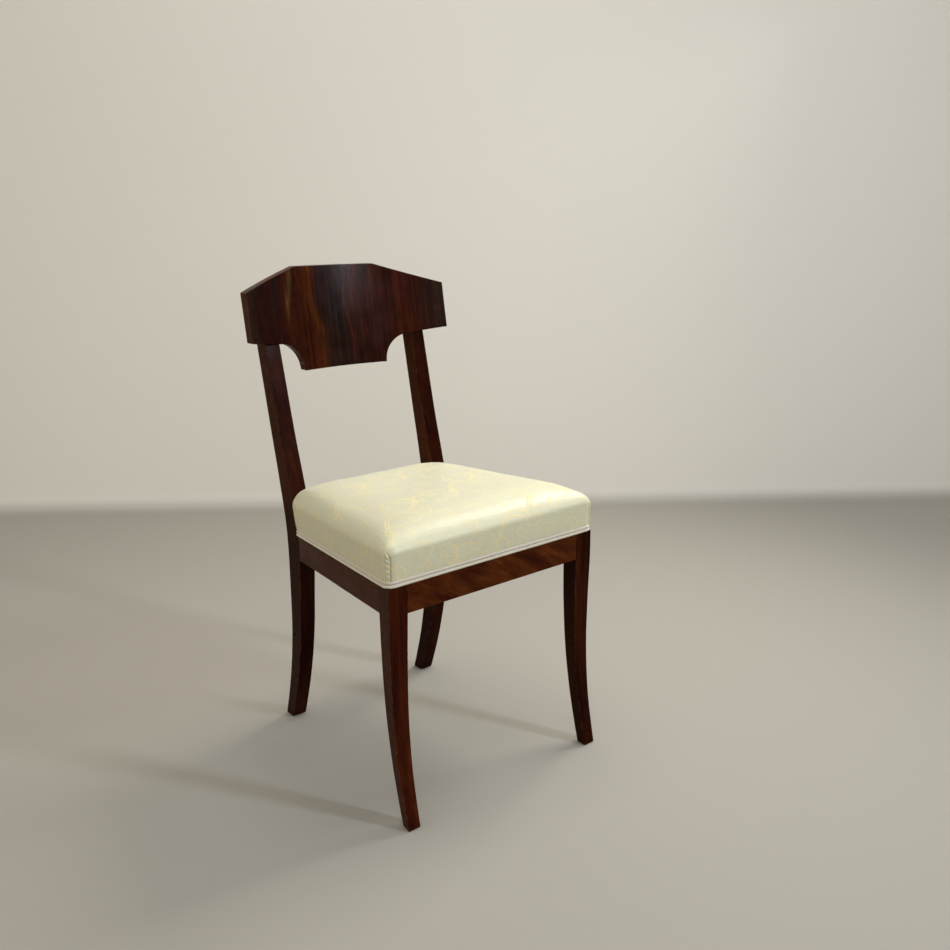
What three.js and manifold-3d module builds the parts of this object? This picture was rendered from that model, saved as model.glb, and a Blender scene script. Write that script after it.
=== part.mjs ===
// Dining chair of the klismos type: sabre legs, raked stiles, a curved crest tablet
// and a stuffed-over seat. Millimetres, +Z up, the front faces -Y, X = 0 is the plane of
// symmetry. The model is drawn with Y = 0 on the face of the front rail and Z = 0 on the
// floor, and is then moved along Y so that its origin is under the middle of its box.

import * as THREE from 'three';
import { mergeVertices } from 'three/addons/utils/BufferGeometryUtils.js';
import Module from 'manifold-3d';

const wasm = await Module();
wasm.setup();

// Clearances
const gap = 0.3;
const overrun = 45;

// Seat frame
const seatHalfWidth = 221;
const seatTaper = 45.4;
const seatDepth = 355;
const seatFall = 13;
const railBottom = 364;
const showWoodHeight = 48;
const tackingHeight = 22;
const railThickness = 24;
const rearRailShy = 2;
const rebateDepth = 6;
const tenonThickness = 9;
const tenonSetback = 8;
const tenonShoulder = 8;
const sideTenonLength = 20;
const tenonWall = 1.5;
const veneerThickness = 1.2;

// Front legs
const frontLegWidth = 36;
const frontLegDepth = 32.4;
const frontFootWidth = 23;
const frontFootDepth = 20.5;
const frontFootKick = 26.2;
const frontFootToeIn = 7;
const footChamfer = 1.5;
const frontLegHeightShares = [0, 0.26, 0.52, 0.78, 1];
const frontLegKickShares = [1, 0.27, -0.06, -0.08, 0];
const frontLegDepthShares = [0, 0.13, 0.48, 0.84, 1];

// Rear legs and stiles
const kneeRise = 31;
const rearLegWidth = 31.8;
const rearLegDepth = 43.8;
const rearFootWidth = 28.6;
const rearFootDepth = 25.7;
const rearFootKick = 72.3;
const rearFootToeIn = 3.1;
const stileTopWidth = 28.8;
const stileTopDepth = 30;
const stileSplay = 1.3;
const stileRake = 101;
const stileShy = 3;
const rearLegHeightShares = [0, 0.238, 0.476, 0.714, 1];
const rearLegKickShares = [1, 0.563, 0.26, 0.105, 0];
const rearLegDepthShares = [0, 0.18, 0.41, 0.67, 1];
const stileHeightShares = [0.215, 0.43, 0.69, 1];
const stileRakeShares = [0.205, 0.449, 0.699, 1];
const stileDepthShares = [0.41, 0.74, 0.855, 1];

// Crest tablet
const crestHalfWidth = 215;
const backOpening = 314;
const crestEndHeight = 87;
const crestEarDrop = 8.5;
const crestPeakRise = 40;
const crestPeakHalfWidth = 85.5;
const tabletHalfWidth = 91;
const tabletDrop = 63;
const crestThickness = 21.5;
const crestSag = 57.5;
const crestRakeDegrees = 9.25;
const crestStandoff = 8;

// Screws and plugs
const screwHeadRadius = 4.2;
const screwHeadDepth = 3;
const screwShankRadius = 2.2;
const screwTip = 5;
const screwSlotWidth = 1.1;
const screwSlotDepth = 1.2;
const blockScrewLength = 34;
const blockScrewHold = 17;
const crestScrewLength = 28;
const plugThickness = 5.6;
const crestScrewHeightShares = { lower: 0.28, upper: 0.76 };

// Corner blocks
const blockReach = 62;
const blockHeight = 42;
const blockShy = 6;
const blockRailScrewShare = 0.48;
const blockSideScrewShares = { front: 0.6, rear: 0.73 };
const blockScrewHeightShares = { rail: 0.7, side: 0.3 };

// Webbing and cloths
const webbingWidth = 50;
const webbingThickness = 1.6;
const webbingBearing = 16;
const webbingPlaceShares = [-0.27, 0, 0.27];
const baseClothThickness = 1;
const baseClothMargin = 14;
const dustClothThickness = 0.8;
const dustClothMargin = 10;

// Stuffed seat
const coverThickness = 1.6;
const coverEdgeHeight = 68;
const coverShoulderHeight = 20;
const coverShoulderReach = 34;
const coverBulge = 4;
const coverCrown = 28;
const coverRearRise = 4.5;
const crownFullness = 4.2;
const planCornerRadius = 9;
const planRoundingShare = 0.12;
const coverRiseShares = [0.5, 0.78, 1];
const coverSwellShares = [0.12, 0.68, 1];
const crownRingShares = [0.3, 0.44, 0.62, 0.8];

// Double welt
const weltCordRadius = 3;
const weltSpreadShare = 0.93;

// Smoothness
const legSteps = 4;
const crestSteps = 28;
const coveSteps = 8;
const turnSteps = 14;
const cornerSteps = 3;
const sideSteps = 7;
const shoulderSteps = 5;
const weltSteps = 6;

const sideSlope = seatTaper / seatDepth;
const sideLength = Math.hypot(1, sideSlope);
const seatSlope = seatFall / seatDepth;
const weltLine = railBottom + showWoodHeight;
const railTop = weltLine + tackingHeight;
const kneeHeight = railBottom + kneeRise;
const crestEndBottom = railTop + backOpening;
const crestEndTop = crestEndBottom + crestEndHeight;
const crestPeak = crestEndTop + crestPeakRise;
const tabletBottom = crestEndBottom - tabletDrop;
const stileTop = crestEndTop - stileShy;
const crestRake = Math.tan(THREE.MathUtils.degToRad(crestRakeDegrees));
const rearLegOuter = seatHalfWidth - seatTaper;
const rearLegInner = rearLegOuter - rearLegWidth;
const frontLegInner = seatHalfWidth - frontLegWidth;
const stileTopOuter = rearLegOuter + stileSplay;
const stileTopInner = stileTopOuter - stileTopWidth;
const seatBack = seatDepth + rearLegDepth - rearRailShy;

const materials = {
  wood: new THREE.MeshStandardMaterial({ color: '#3a140a', roughness: 0.3, metalness: 0 }),
  veneer: new THREE.MeshStandardMaterial({ color: '#5a2410', roughness: 0.25, metalness: 0 }),
  block: new THREE.MeshStandardMaterial({ color: '#a07a4c', roughness: 0.7, metalness: 0 }),
  screw: new THREE.MeshStandardMaterial({ color: '#77746c', roughness: 0.45, metalness: 1 }),
  webbing: new THREE.MeshStandardMaterial({ color: '#9a7f55', roughness: 0.9, metalness: 0 }),
  hessian: new THREE.MeshStandardMaterial({ color: '#b0925f', roughness: 0.95, metalness: 0 }),
  stuffing: new THREE.MeshStandardMaterial({ color: '#cdbb93', roughness: 1, metalness: 0 }),
  damask: new THREE.MeshStandardMaterial({ color: '#ddd6b4', roughness: 0.55, metalness: 0 }),
  welt: new THREE.MeshStandardMaterial({ color: '#e2d8bd', roughness: 0.6, metalness: 0 }),
  dustCloth: new THREE.MeshStandardMaterial({ color: '#1d1b1a', roughness: 0.9, metalness: 0 }),
};

const chair = new THREE.Group();

// A closed mesh becomes a solid with its faces pointing out
function solid(geometry) {
  const bare = geometry.clone();
  bare.deleteAttribute('normal');
  bare.deleteAttribute('uv');
  const merged = mergeVertices(bare);
  const position = merged.attributes.position;
  const corner = [new THREE.Vector3(), new THREE.Vector3(), new THREE.Vector3()];
  const triangles = [];
  let volume = 0;
  for (let start = 0; start < merged.index.count; start += 3) {
    const ids = [0, 1, 2].map((step) => merged.index.getX(start + step));
    if (new Set(ids).size === 3) {
      ids.forEach((id, step) => corner[step].fromBufferAttribute(position, id));
      volume += corner[0].dot(corner[1].clone().cross(corner[2]));
      triangles.push(ids);
    }
  }
  const facing = volume < 0 ? triangles.map((ids) => ids.reverse()) : triangles;
  return new wasm.Manifold(new wasm.Mesh({
    numProp: 3,
    vertProperties: position.array,
    triVerts: new Uint32Array(facing.flat()),
  }));
}

function geometryOf(body) {
  const mesh = body.getMesh();
  const geometry = new THREE.BufferGeometry();
  geometry.setAttribute('position', new THREE.BufferAttribute(mesh.vertProperties, 3));
  geometry.setIndex(new THREE.BufferAttribute(mesh.triVerts, 1));
  geometry.computeVertexNormals();
  return geometry;
}

function mirrored(geometry) {
  const other = geometry.clone().scale(-1, 1, 1);
  for (let start = 0; start < other.index.count; start += 3) {
    const first = other.index.getX(start);
    other.index.setX(start, other.index.getX(start + 1));
    other.index.setX(start + 1, first);
  }
  other.computeVertexNormals();
  return other;
}

function addPiece(name, geometry, material) {
  const mesh = new THREE.Mesh(geometry, material);
  mesh.name = name;
  chair.add(mesh);
  return mesh;
}

// The piece drawn on the +X side and its mirror image
function addPair(stem, body, material) {
  const geometry = geometryOf(body);
  addPiece(`${stem}_right`, geometry, material);
  addPiece(`${stem}_left`, mirrored(geometry), material);
}

// Skin over a row of rings with equal point counts, closed by a fan at each end
function loft(rings) {
  const count = rings[0].length;
  const middles = [rings[0], rings[rings.length - 1]].map((ring) => {
    const sum = ring.reduce((total, point) => total.add(point), new THREE.Vector3());
    return sum.divideScalar(count);
  });
  const points = [...rings.flat(), ...middles];
  const firstMiddle = points.length - 2;
  const index = [];
  for (let place = 0; place < count; place += 1) {
    const next = (place + 1) % count;
    for (let level = 0; level < rings.length - 1; level += 1) {
      const low = level * count;
      const high = low + count;
      index.push(low + place, low + next, high + next, low + place, high + next, high + place);
    }
    const last = (rings.length - 1) * count;
    index.push(firstMiddle, next, place, firstMiddle + 1, last + place, last + next);
  }
  const geometry = new THREE.BufferGeometry().setFromPoints(points);
  geometry.setIndex(index);
  return geometry;
}

// Seat pieces are drawn level and then take the fall of the seat to the rear
function slopeSeat(geometry) {
  return geometry.applyMatrix4(new THREE.Matrix4().makeShear(0, 0, 0, -seatSlope, 0, 0));
}

function seatHeight(height, depth) {
  return height - seatSlope * depth;
}

// Upright prism over a plan outline, with the fall of the seat
function plate(outline, low, high) {
  const shape = new THREE.Shape(outline.map(([x, y]) => new THREE.Vector2(x, y)));
  const geometry = new THREE.ExtrudeGeometry(shape, { depth: high - low, bevelEnabled: false });
  return solid(slopeSeat(geometry.translate(0, 0, low)));
}

// Outer side of the seat frame at a depth, set in by an inset square to the side
function sideX(depth, inset) {
  return seatHalfWidth - sideSlope * depth - inset * sideLength;
}

// Plan of the seat set in from the frame's outer faces, with rounded corners, going round
// from the rear left corner by the front to the rear right corner and back along the rear
function seatPlan(inset, radius) {
  const sideTurn = Math.atan(sideSlope);
  const reach = inset + radius;
  const front = { x: sideX(reach, reach), y: reach, from: -Math.PI / 2, to: sideTurn };
  const back = { x: sideX(seatBack - reach, reach), y: seatBack - reach, from: sideTurn, to: Math.PI / 2 };
  const right = [front, back].map((arc) => {
    const points = [];
    for (let step = 0; step <= cornerSteps; step += 1) {
      const turn = THREE.MathUtils.lerp(arc.from, arc.to, step / cornerSteps);
      points.push({ x: arc.x + radius * Math.cos(turn), y: arc.y + radius * Math.sin(turn), turn });
    }
    return points;
  });
  const flip = (points) => points.map(({ x, y, turn }) => ({ x: -x, y, turn: Math.PI - turn })).reverse();
  return [flip(right[1]), flip(right[0]), right[0], right[1]];
}

// Closed plan with the straight stretches divided as well
function seatRing(inset, radius) {
  const corners = seatPlan(inset, radius);
  return corners.flatMap((corner, number) => {
    const start = corner[corner.length - 1];
    const end = corners[(number + 1) % corners.length][0];
    const between = [];
    for (let step = 1; step < sideSteps; step += 1) {
      const share = step / sideSteps;
      const x = THREE.MathUtils.lerp(start.x, end.x, share);
      between.push({ x, y: THREE.MathUtils.lerp(start.y, end.y, share) });
    }
    return [...corner, ...between];
  });
}

// Everything outside the seat's plan above the welt line, which the rails and legs lose
function seatRebate() {
  const outside = [
    [-seatHalfWidth - overrun, -overrun],
    [seatHalfWidth + overrun, -overrun],
    [seatHalfWidth + overrun, seatBack + overrun],
    [-seatHalfWidth - overrun, seatBack + overrun],
  ];
  const inside = seatPlan(rebateDepth, planCornerRadius - rebateDepth).flat().map(({ x, y }) => [x, y]);
  const low = weltLine - gap;
  const high = railTop + overrun;
  return plate(outside, low, high).subtract(plate(inside, low - overrun, high + overrun));
}

// Edges of the legs seen from the side, as curves of depth against height

function frontLegEdges() {
  const front = frontLegHeightShares.map((share, knot) => (
    new THREE.Vector2(-frontFootKick * frontLegKickShares[knot], share * railBottom)));
  const back = front.map((point, knot) => {
    const depth = THREE.MathUtils.lerp(frontFootDepth, frontLegDepth, frontLegDepthShares[knot]);
    return new THREE.Vector2(point.x + depth, point.y);
  });
  front.push(new THREE.Vector2(0, railTop));
  back.push(new THREE.Vector2(frontLegDepth, railTop));
  return { front: new THREE.SplineCurve(front), back: new THREE.SplineCurve(back) };
}

function rearLegEdges() {
  const lower = rearLegHeightShares.map((share, knot) => ({
    height: share * kneeHeight,
    front: seatDepth + rearFootKick * rearLegKickShares[knot],
    depth: THREE.MathUtils.lerp(rearFootDepth, rearLegDepth, rearLegDepthShares[knot]),
  }));
  const upper = stileHeightShares.map((share, knot) => ({
    height: THREE.MathUtils.lerp(kneeHeight, stileTop, share),
    front: seatDepth + stileRake * stileRakeShares[knot],
    depth: THREE.MathUtils.lerp(rearLegDepth, stileTopDepth, stileDepthShares[knot]),
  }));
  const knots = [...lower, ...upper];
  return {
    front: new THREE.SplineCurve(knots.map(({ front, height }) => new THREE.Vector2(front, height))),
    back: new THREE.SplineCurve(knots.map(({ front, depth, height }) => (
      new THREE.Vector2(front + depth, height)))),
  };
}

// Depth of an edge at a height
function edgeAt(edge, height) {
  const points = edge.getPoints(edge.points.length * legSteps);
  const above = Math.max(1, points.findIndex((point) => point.y >= height));
  const [low, high] = [points[above - 1], points[above]];
  return THREE.MathUtils.mapLinear(height, low.y, high.y, low.x, high.x);
}

// Leg of four-cornered rings between two edges; sides gives the inner and outer faces at a
// height, slope is the splay of the outer face and grow makes the leg fatter all round
function legSolid(edges, sides, slope, grow) {
  const steps = (edges.front.points.length - 1) * legSteps;
  const ringAt = (front, back, height, fat) => {
    const { inner, outer } = sides(height);
    const splay = slope * (back - front);
    return [
      new THREE.Vector3(inner - fat, front - fat, height),
      new THREE.Vector3(outer + fat, front - fat, height),
      new THREE.Vector3(outer - splay + fat, back + fat, height),
      new THREE.Vector3(inner - fat, back + fat, height),
    ];
  };
  const rings = [];
  for (let step = 0; step <= steps; step += 1) {
    const front = edges.front.getPoint(step / steps);
    const back = edges.back.getPoint(step / steps);
    if (step === 0) {
      rings.push(ringAt(front.x, back.x, front.y, grow - footChamfer));
      rings.push(ringAt(front.x, back.x, front.y + footChamfer, grow));
    } else {
      rings.push(ringAt(front.x, back.x, front.y, grow));
    }
  }
  return solid(loft(rings));
}

function frontLegBlank(grow) {
  const sides = (height) => {
    const share = 1 - Math.min(height / railBottom, 1);
    const outer = seatHalfWidth - frontFootToeIn * share;
    return { inner: outer - THREE.MathUtils.lerp(frontLegWidth, frontFootWidth, share), outer };
  };
  return legSolid(frontLegEdges(), sides, sideSlope, grow);
}

function rearLegBlank(grow) {
  const sides = (height) => {
    const below = 1 - Math.min(height / kneeHeight, 1);
    const above = Math.max(0, (height - kneeHeight) / (stileTop - kneeHeight));
    const outer = rearLegOuter - rearFootToeIn * below + stileSplay * above;
    const lower = THREE.MathUtils.lerp(rearLegWidth, rearFootWidth, below);
    return { inner: outer - THREE.MathUtils.lerp(lower, stileTopWidth, above), outer };
  };
  return legSolid(rearLegEdges(), sides, 0, grow);
}

// The stile with all that lies outside and behind it, for cutting what stops at the stile
function stileClearance(grow) {
  const edge = rearLegEdges().front.getPoints(rearLegEdges().front.points.length * legSteps);
  const shape = new THREE.Shape(edge.map(({ x, y }) => new THREE.Vector2(x - grow, y)));
  shape.lineTo(seatDepth + stileRake + rearLegDepth + overrun, stileTop);
  shape.lineTo(seatDepth + stileRake + rearLegDepth + overrun, 0);
  const width = rearLegWidth + overrun;
  const geometry = new THREE.ExtrudeGeometry(shape, { depth: width, bevelEnabled: false });
  geometry.rotateX(Math.PI / 2).rotateZ(Math.PI / 2);
  return geometry.translate(rearLegInner - grow, 0, 0);
}

// Cuts a body where it meets the stiles on both sides
function clearOfStiles(body, grow) {
  const right = stileClearance(grow);
  const left = right.clone().scale(-1, 1, 1);
  return body.subtract(solid(right)).subtract(solid(left));
}

// Bar that makes the tenons at both ends of a rail, with grow added all round

function tenonHeights(grow) {
  return [railBottom + tenonShoulder - grow, weltLine - tenonShoulder + grow];
}

function crossTenon(face, halfLength, grow) {
  const near = face + tenonSetback - grow;
  const far = face + tenonSetback + tenonThickness + grow;
  const end = halfLength + grow;
  return plate([[-end, near], [end, near], [end, far], [-end, far]], ...tenonHeights(grow));
}

// The cross tenons stop a thin wall of wood short of the side tenons' inner faces

function frontTenon(grow) {
  const end = sideX(tenonSetback + tenonThickness, tenonSetback + tenonThickness) - tenonWall;
  return crossTenon(0, end, grow);
}

function rearTenon(grow) {
  const end = sideX(seatDepth + sideTenonLength, tenonSetback + tenonThickness) - tenonWall;
  return crossTenon(seatBack - railThickness, end, grow);
}

function sideTenon(grow) {
  const near = frontLegDepth - sideTenonLength - grow;
  const far = seatDepth + sideTenonLength + grow;
  const outer = tenonSetback - grow;
  const inner = tenonSetback + tenonThickness + grow;
  const outline = [
    [sideX(near, inner), near],
    [sideX(near, outer), near],
    [sideX(far, outer), far],
    [sideX(far, inner), far],
  ];
  return plate(outline, ...tenonHeights(grow));
}

function mirroredSolid(body) {
  return solid(mirrored(geometryOf(body)));
}

// Wood screws: drawn with the head's face at the origin and the tip along +Z

function turned(profile) {
  const points = profile.map(([radius, height]) => new THREE.Vector2(radius, height));
  return new THREE.LatheGeometry(points, turnSteps).rotateX(Math.PI / 2);
}

function screwBody(length) {
  const body = solid(turned([
    [0, 0],
    [screwHeadRadius, 0],
    [screwShankRadius, screwHeadDepth],
    [screwShankRadius, length - screwTip],
    [0, length],
  ]));
  const slot = new THREE.BoxGeometry(2 * screwHeadRadius + overrun, screwSlotWidth, 2 * screwSlotDepth);
  return geometryOf(body.subtract(solid(slot)));
}

// Hole for a screw, running back over the head by reach
function screwHole(length, reach) {
  return turned([
    [0, -reach],
    [screwHeadRadius + gap, -reach],
    [screwHeadRadius + gap, 0],
    [screwShankRadius + gap, screwHeadDepth + gap],
    [screwShankRadius + gap, length + gap],
    [0, length + gap],
  ]);
}

function aim(direction) {
  return new THREE.Quaternion().setFromUnitVectors(new THREE.Vector3(0, 0, 1), direction);
}

function holeAt(seat, length, reach) {
  const geometry = screwHole(length, reach).applyQuaternion(aim(seat.direction));
  return solid(geometry.translate(seat.head.x, seat.head.y, seat.head.z));
}

function otherSide(seat) {
  const flip = (vector) => new THREE.Vector3(-vector.x, vector.y, vector.z);
  return { name: seat.name, head: flip(seat.head), direction: flip(seat.direction) };
}

function placeAt(name, geometry, material, seat) {
  const mesh = addPiece(name, geometry, material);
  mesh.position.copy(seat.head);
  mesh.quaternion.copy(aim(seat.direction));
}

// Corner blocks: outlines and screw places on the +X side

function corner(depth, away, post, screwShare) {
  return { x: sideX(depth, railThickness), y: depth, away, post, screwShare };
}

function frontCorner() {
  return corner(railThickness, 1, frontLegDepth, blockSideScrewShares.front);
}

function rearCorner() {
  return corner(seatBack - railThickness, -1, seatDepth, blockSideScrewShares.rear);
}

// One screw into the end rail, and one into the side rail between the block's end and the leg
function blockScrews({ x, y, away, post, screwShare }) {
  const place = blockReach * blockRailScrewShare;
  const hold = blockScrewLength - blockScrewHold;
  const low = railBottom + blockShy;
  const sideDepth = THREE.MathUtils.lerp(y + away * blockReach, post, screwShare);
  const railHead = new THREE.Vector3(x - place, y + away * hold, 0);
  const sideHead = new THREE.Vector3(sideX(sideDepth, railThickness + hold), sideDepth, 0);
  railHead.z = seatHeight(low + blockHeight * blockScrewHeightShares.rail, railHead.y);
  sideHead.z = seatHeight(low + blockHeight * blockScrewHeightShares.side, sideHead.y);
  return [
    { name: 'rail', head: railHead, direction: new THREE.Vector3(0, -away, 0) },
    { name: 'side', head: sideHead, direction: new THREE.Vector3(1, sideSlope, 0).normalize() },
  ];
}

function cornerBlock(place, leg) {
  const near = place.y + place.away * gap;
  const far = place.y + place.away * blockReach;
  const inner = railThickness + gap;
  const outline = [
    [place.x - blockReach, near],
    [sideX(near, inner), near],
    [sideX(far, inner), far],
  ];
  const low = railBottom + blockShy;
  let block = plate(outline, low, low + blockHeight).subtract(leg);
  blockScrews(place).forEach((seat) => {
    block = block.subtract(holeAt(seat, blockScrewLength, overrun));
  });
  return block;
}

// Crest tablet: a plan band bent to a parabola, raked back and cut to the outline

function crestEndFace() {
  const stileMiddle = (stileTopOuter + stileTopInner) / 2;
  const sagThere = crestSag * (1 - (stileMiddle / crestHalfWidth) ** 2);
  return edgeAt(rearLegEdges().front, crestEndBottom) - crestStandoff - sagThere;
}

// Slab of the band between two depths behind the front face
function crestBand(near, far, low, high) {
  const face = crestEndFace();
  const shape = new THREE.Shape();
  shape.moveTo(-crestHalfWidth, face + near);
  shape.quadraticCurveTo(0, face + near + 2 * crestSag, crestHalfWidth, face + near);
  shape.lineTo(crestHalfWidth, face + far);
  shape.quadraticCurveTo(0, face + far + 2 * crestSag, -crestHalfWidth, face + far);
  const options = { depth: high - low, bevelEnabled: false, curveSegments: crestSteps };
  const geometry = new THREE.ExtrudeGeometry(shape, options).translate(0, 0, low - crestEndBottom);
  geometry.applyMatrix4(new THREE.Matrix4().makeShear(0, 0, 0, 0, 0, crestRake));
  return solid(geometry.translate(0, 0, crestEndBottom));
}

// A shape drawn from the front, carried back through the whole crest
function throughCrest(shape) {
  const depth = crestSag + crestThickness + crestPeakRise + 2 * overrun;
  const options = { depth, bevelEnabled: false, curveSegments: coveSteps };
  const geometry = new THREE.ExtrudeGeometry(shape, options).rotateX(Math.PI / 2);
  return solid(geometry.translate(0, crestEndFace() + depth - overrun, 0));
}

// The ears' lower edges slant down from the ends to the coves beside the tablet
function earBottomAt(across) {
  return crestEndBottom - crestEarDrop * (crestHalfWidth - across) / (crestHalfWidth - stileTopInner);
}

function crestOutline() {
  const coveWidth = stileTopInner - tabletHalfWidth;
  const coveHeight = earBottomAt(stileTopInner) - tabletBottom;
  const shape = new THREE.Shape();
  shape.moveTo(-tabletHalfWidth, tabletBottom);
  shape.lineTo(tabletHalfWidth, tabletBottom);
  shape.absellipse(stileTopInner, tabletBottom, coveWidth, coveHeight, Math.PI, Math.PI / 2, true, 0);
  shape.lineTo(crestHalfWidth, crestEndBottom);
  shape.lineTo(crestHalfWidth, crestEndTop);
  shape.lineTo(crestPeakHalfWidth, crestPeak);
  shape.lineTo(-crestPeakHalfWidth, crestPeak);
  shape.lineTo(-crestHalfWidth, crestEndTop);
  shape.lineTo(-crestHalfWidth, crestEndBottom);
  shape.absellipse(-stileTopInner, tabletBottom, coveWidth, coveHeight, Math.PI / 2, 0, true, 0);
  return throughCrest(shape);
}

function crestSlice(near, far) {
  return crestBand(near, far, tabletBottom - overrun, crestPeak + overrun).intersect(crestOutline());
}

// The rabbet that takes the crest, its shoulder slanted as the ear above it is
function stileRabbet() {
  const shoulder = earBottomAt(0) - gap;
  const shape = new THREE.Shape();
  shape.moveTo(0, shoulder);
  shape.lineTo(crestHalfWidth, crestEndBottom - gap);
  shape.lineTo(crestHalfWidth, crestPeak + overrun);
  shape.lineTo(0, crestPeak + overrun);
  const band = crestBand(-overrun, crestThickness + gap, shoulder, crestPeak + overrun);
  return band.intersect(throughCrest(shape));
}

// Screws through the stile's back into the crest, each sunk under a plug
function crestScrews() {
  const { back } = rearLegEdges();
  const across = (stileTopOuter + stileTopInner) / 2;
  const tilt = THREE.MathUtils.degToRad(crestRakeDegrees);
  const direction = new THREE.Vector3(0, -Math.cos(tilt), Math.sin(tilt));
  return Object.entries(crestScrewHeightShares).map(([name, share]) => {
    const height = THREE.MathUtils.lerp(crestEndBottom, stileTop, share);
    const face = new THREE.Vector3(across, edgeAt(back, height), height);
    return { name, head: face.addScaledVector(direction, plugThickness + gap), direction };
  });
}

function rearLeg() {
  let leg = rearLegBlank(0);
  leg = leg.subtract(sideTenon(gap)).subtract(rearTenon(gap));
  leg = leg.subtract(stileRabbet());
  crestScrews().forEach((seat) => {
    leg = leg.subtract(holeAt(seat, crestScrewLength, overrun));
  });
  return leg;
}

function frontLeg() {
  return frontLegBlank(0).subtract(frontTenon(gap)).subtract(sideTenon(gap)).subtract(seatRebate());
}

function frontRail() {
  const end = frontLegInner - gap;
  const near = veneerThickness + gap;
  const outline = [[-end, near], [end, near], [end, railThickness], [-end, railThickness]];
  let rail = plate(outline, railBottom, railTop).add(frontTenon(0)).subtract(seatRebate());
  blockScrews(frontCorner()).flatMap((seat) => [seat, otherSide(seat)]).forEach((seat) => {
    rail = rail.subtract(holeAt(seat, blockScrewLength, 0));
  });
  return rail;
}

function rearRail() {
  const end = rearLegInner - gap;
  const near = seatBack - railThickness;
  const outline = [[-end, near], [end, near], [end, seatBack], [-end, seatBack]];
  let rail = plate(outline, railBottom, railTop).add(rearTenon(0)).subtract(seatRebate());
  blockScrews(rearCorner()).flatMap((seat) => [seat, otherSide(seat)]).forEach((seat) => {
    rail = rail.subtract(holeAt(seat, blockScrewLength, 0));
  });
  return rail;
}

function sideRail() {
  const near = frontLegDepth + gap;
  const far = seatDepth + rearLegDepth;
  const outline = [
    [sideX(near, railThickness), near],
    [sideX(near, 0), near],
    [sideX(far, 0), far],
    [sideX(far, railThickness), far],
  ];
  let rail = clearOfStiles(plate(outline, railBottom, railTop), gap);
  rail = rail.add(sideTenon(0)).subtract(seatRebate());
  [frontCorner(), rearCorner()].flatMap(blockScrews).forEach((seat) => {
    rail = rail.subtract(holeAt(seat, blockScrewLength, 0));
  });
  return rail;
}

function frontRailVeneer() {
  const end = frontLegInner - gap;
  const outline = [[-end, 0], [end, 0], [end, veneerThickness], [-end, veneerThickness]];
  return plate(outline, railBottom, weltLine - gap);
}

// Webbing: straps that rise over and dip under each other where they cross

const weaveRise = (webbingThickness + gap) / 2;
const webbingLevel = railTop + gap + webbingThickness / 2;
const seatMiddle = seatBack / 2;
const longPlaces = webbingPlaceShares.map((share) => share * 2 * rearLegInner);
const crossPlaces = webbingPlaceShares.map((share) => seatMiddle + share * seatBack);

// Side view of a strap between two ends, over or under at each crossing
function strapShape(start, end, crossings, firstSign) {
  const middle = [[start, 0]];
  crossings.forEach((place, number) => {
    const rise = weaveRise * firstSign * (number % 2 === 0 ? 1 : -1);
    middle.push([place - webbingWidth / 2 - gap, rise], [place + webbingWidth / 2 + gap, rise]);
  });
  middle.push([end, 0]);
  const half = webbingThickness / 2;
  const lower = middle.map(([along, rise]) => new THREE.Vector2(along, rise - half));
  const upper = middle.map(([along, rise]) => new THREE.Vector2(along, rise + half)).reverse();
  return new THREE.ExtrudeGeometry(new THREE.Shape([...lower, ...upper]), {
    depth: webbingWidth,
    bevelEnabled: false,
  }).translate(0, 0, -webbingWidth / 2).rotateX(Math.PI / 2);
}

function longStrap(place, sign) {
  const start = rebateDepth + webbingBearing / 2;
  const end = seatBack - rebateDepth - webbingBearing / 2;
  const strap = strapShape(start, end, crossPlaces, sign).rotateZ(Math.PI / 2);
  return geometryOf(solid(slopeSeat(strap.translate(place, 0, webbingLevel))));
}

function crossStrap(place, sign) {
  const end = sideX(place, rebateDepth + webbingBearing / 2);
  const strap = strapShape(-end, end, longPlaces, sign);
  return geometryOf(solid(slopeSeat(strap.translate(0, place, webbingLevel))));
}

const baseClothLow = webbingLevel + weaveRise + webbingThickness / 2 + gap;

function baseCloth() {
  const outline = seatPlan(baseClothMargin, planCornerRadius).flat().map(({ x, y }) => [x, y]);
  const sheet = plate(outline, baseClothLow, baseClothLow + baseClothThickness);
  return clearOfStiles(sheet, coverThickness + 2 * gap);
}

function dustCloth() {
  const outline = seatPlan(dustClothMargin, planCornerRadius).flat().map(({ x, y }) => [x, y]);
  const high = railBottom - gap;
  const legs = [frontLegBlank(gap), rearLegBlank(gap)];
  let sheet = plate(outline, high - dustClothThickness, high);
  legs.flatMap((leg) => [leg, mirroredSolid(leg)]).forEach((leg) => {
    sheet = sheet.subtract(leg);
  });
  return sheet;
}

// Plan corners sharpen towards the rebate and open out again over the top
function planRadius(inset) {
  if (inset <= rebateDepth) {
    return planCornerRadius - inset;
  }
  return planCornerRadius - rebateDepth + (inset - rebateDepth) * planRoundingShare;
}

// Rise of the crown at a place in the plan: none at the widest outline, full in the middle
function crownAt(x, y, skin) {
  const across = Math.abs(x / sideX(y, skin - coverBulge));
  const along = Math.abs((y - seatMiddle) / (seatMiddle + coverBulge - skin));
  const fullness = (share) => Math.max(0, 1 - share ** crownFullness);
  return coverCrown * fullness(across) * fullness(along);
}

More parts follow.
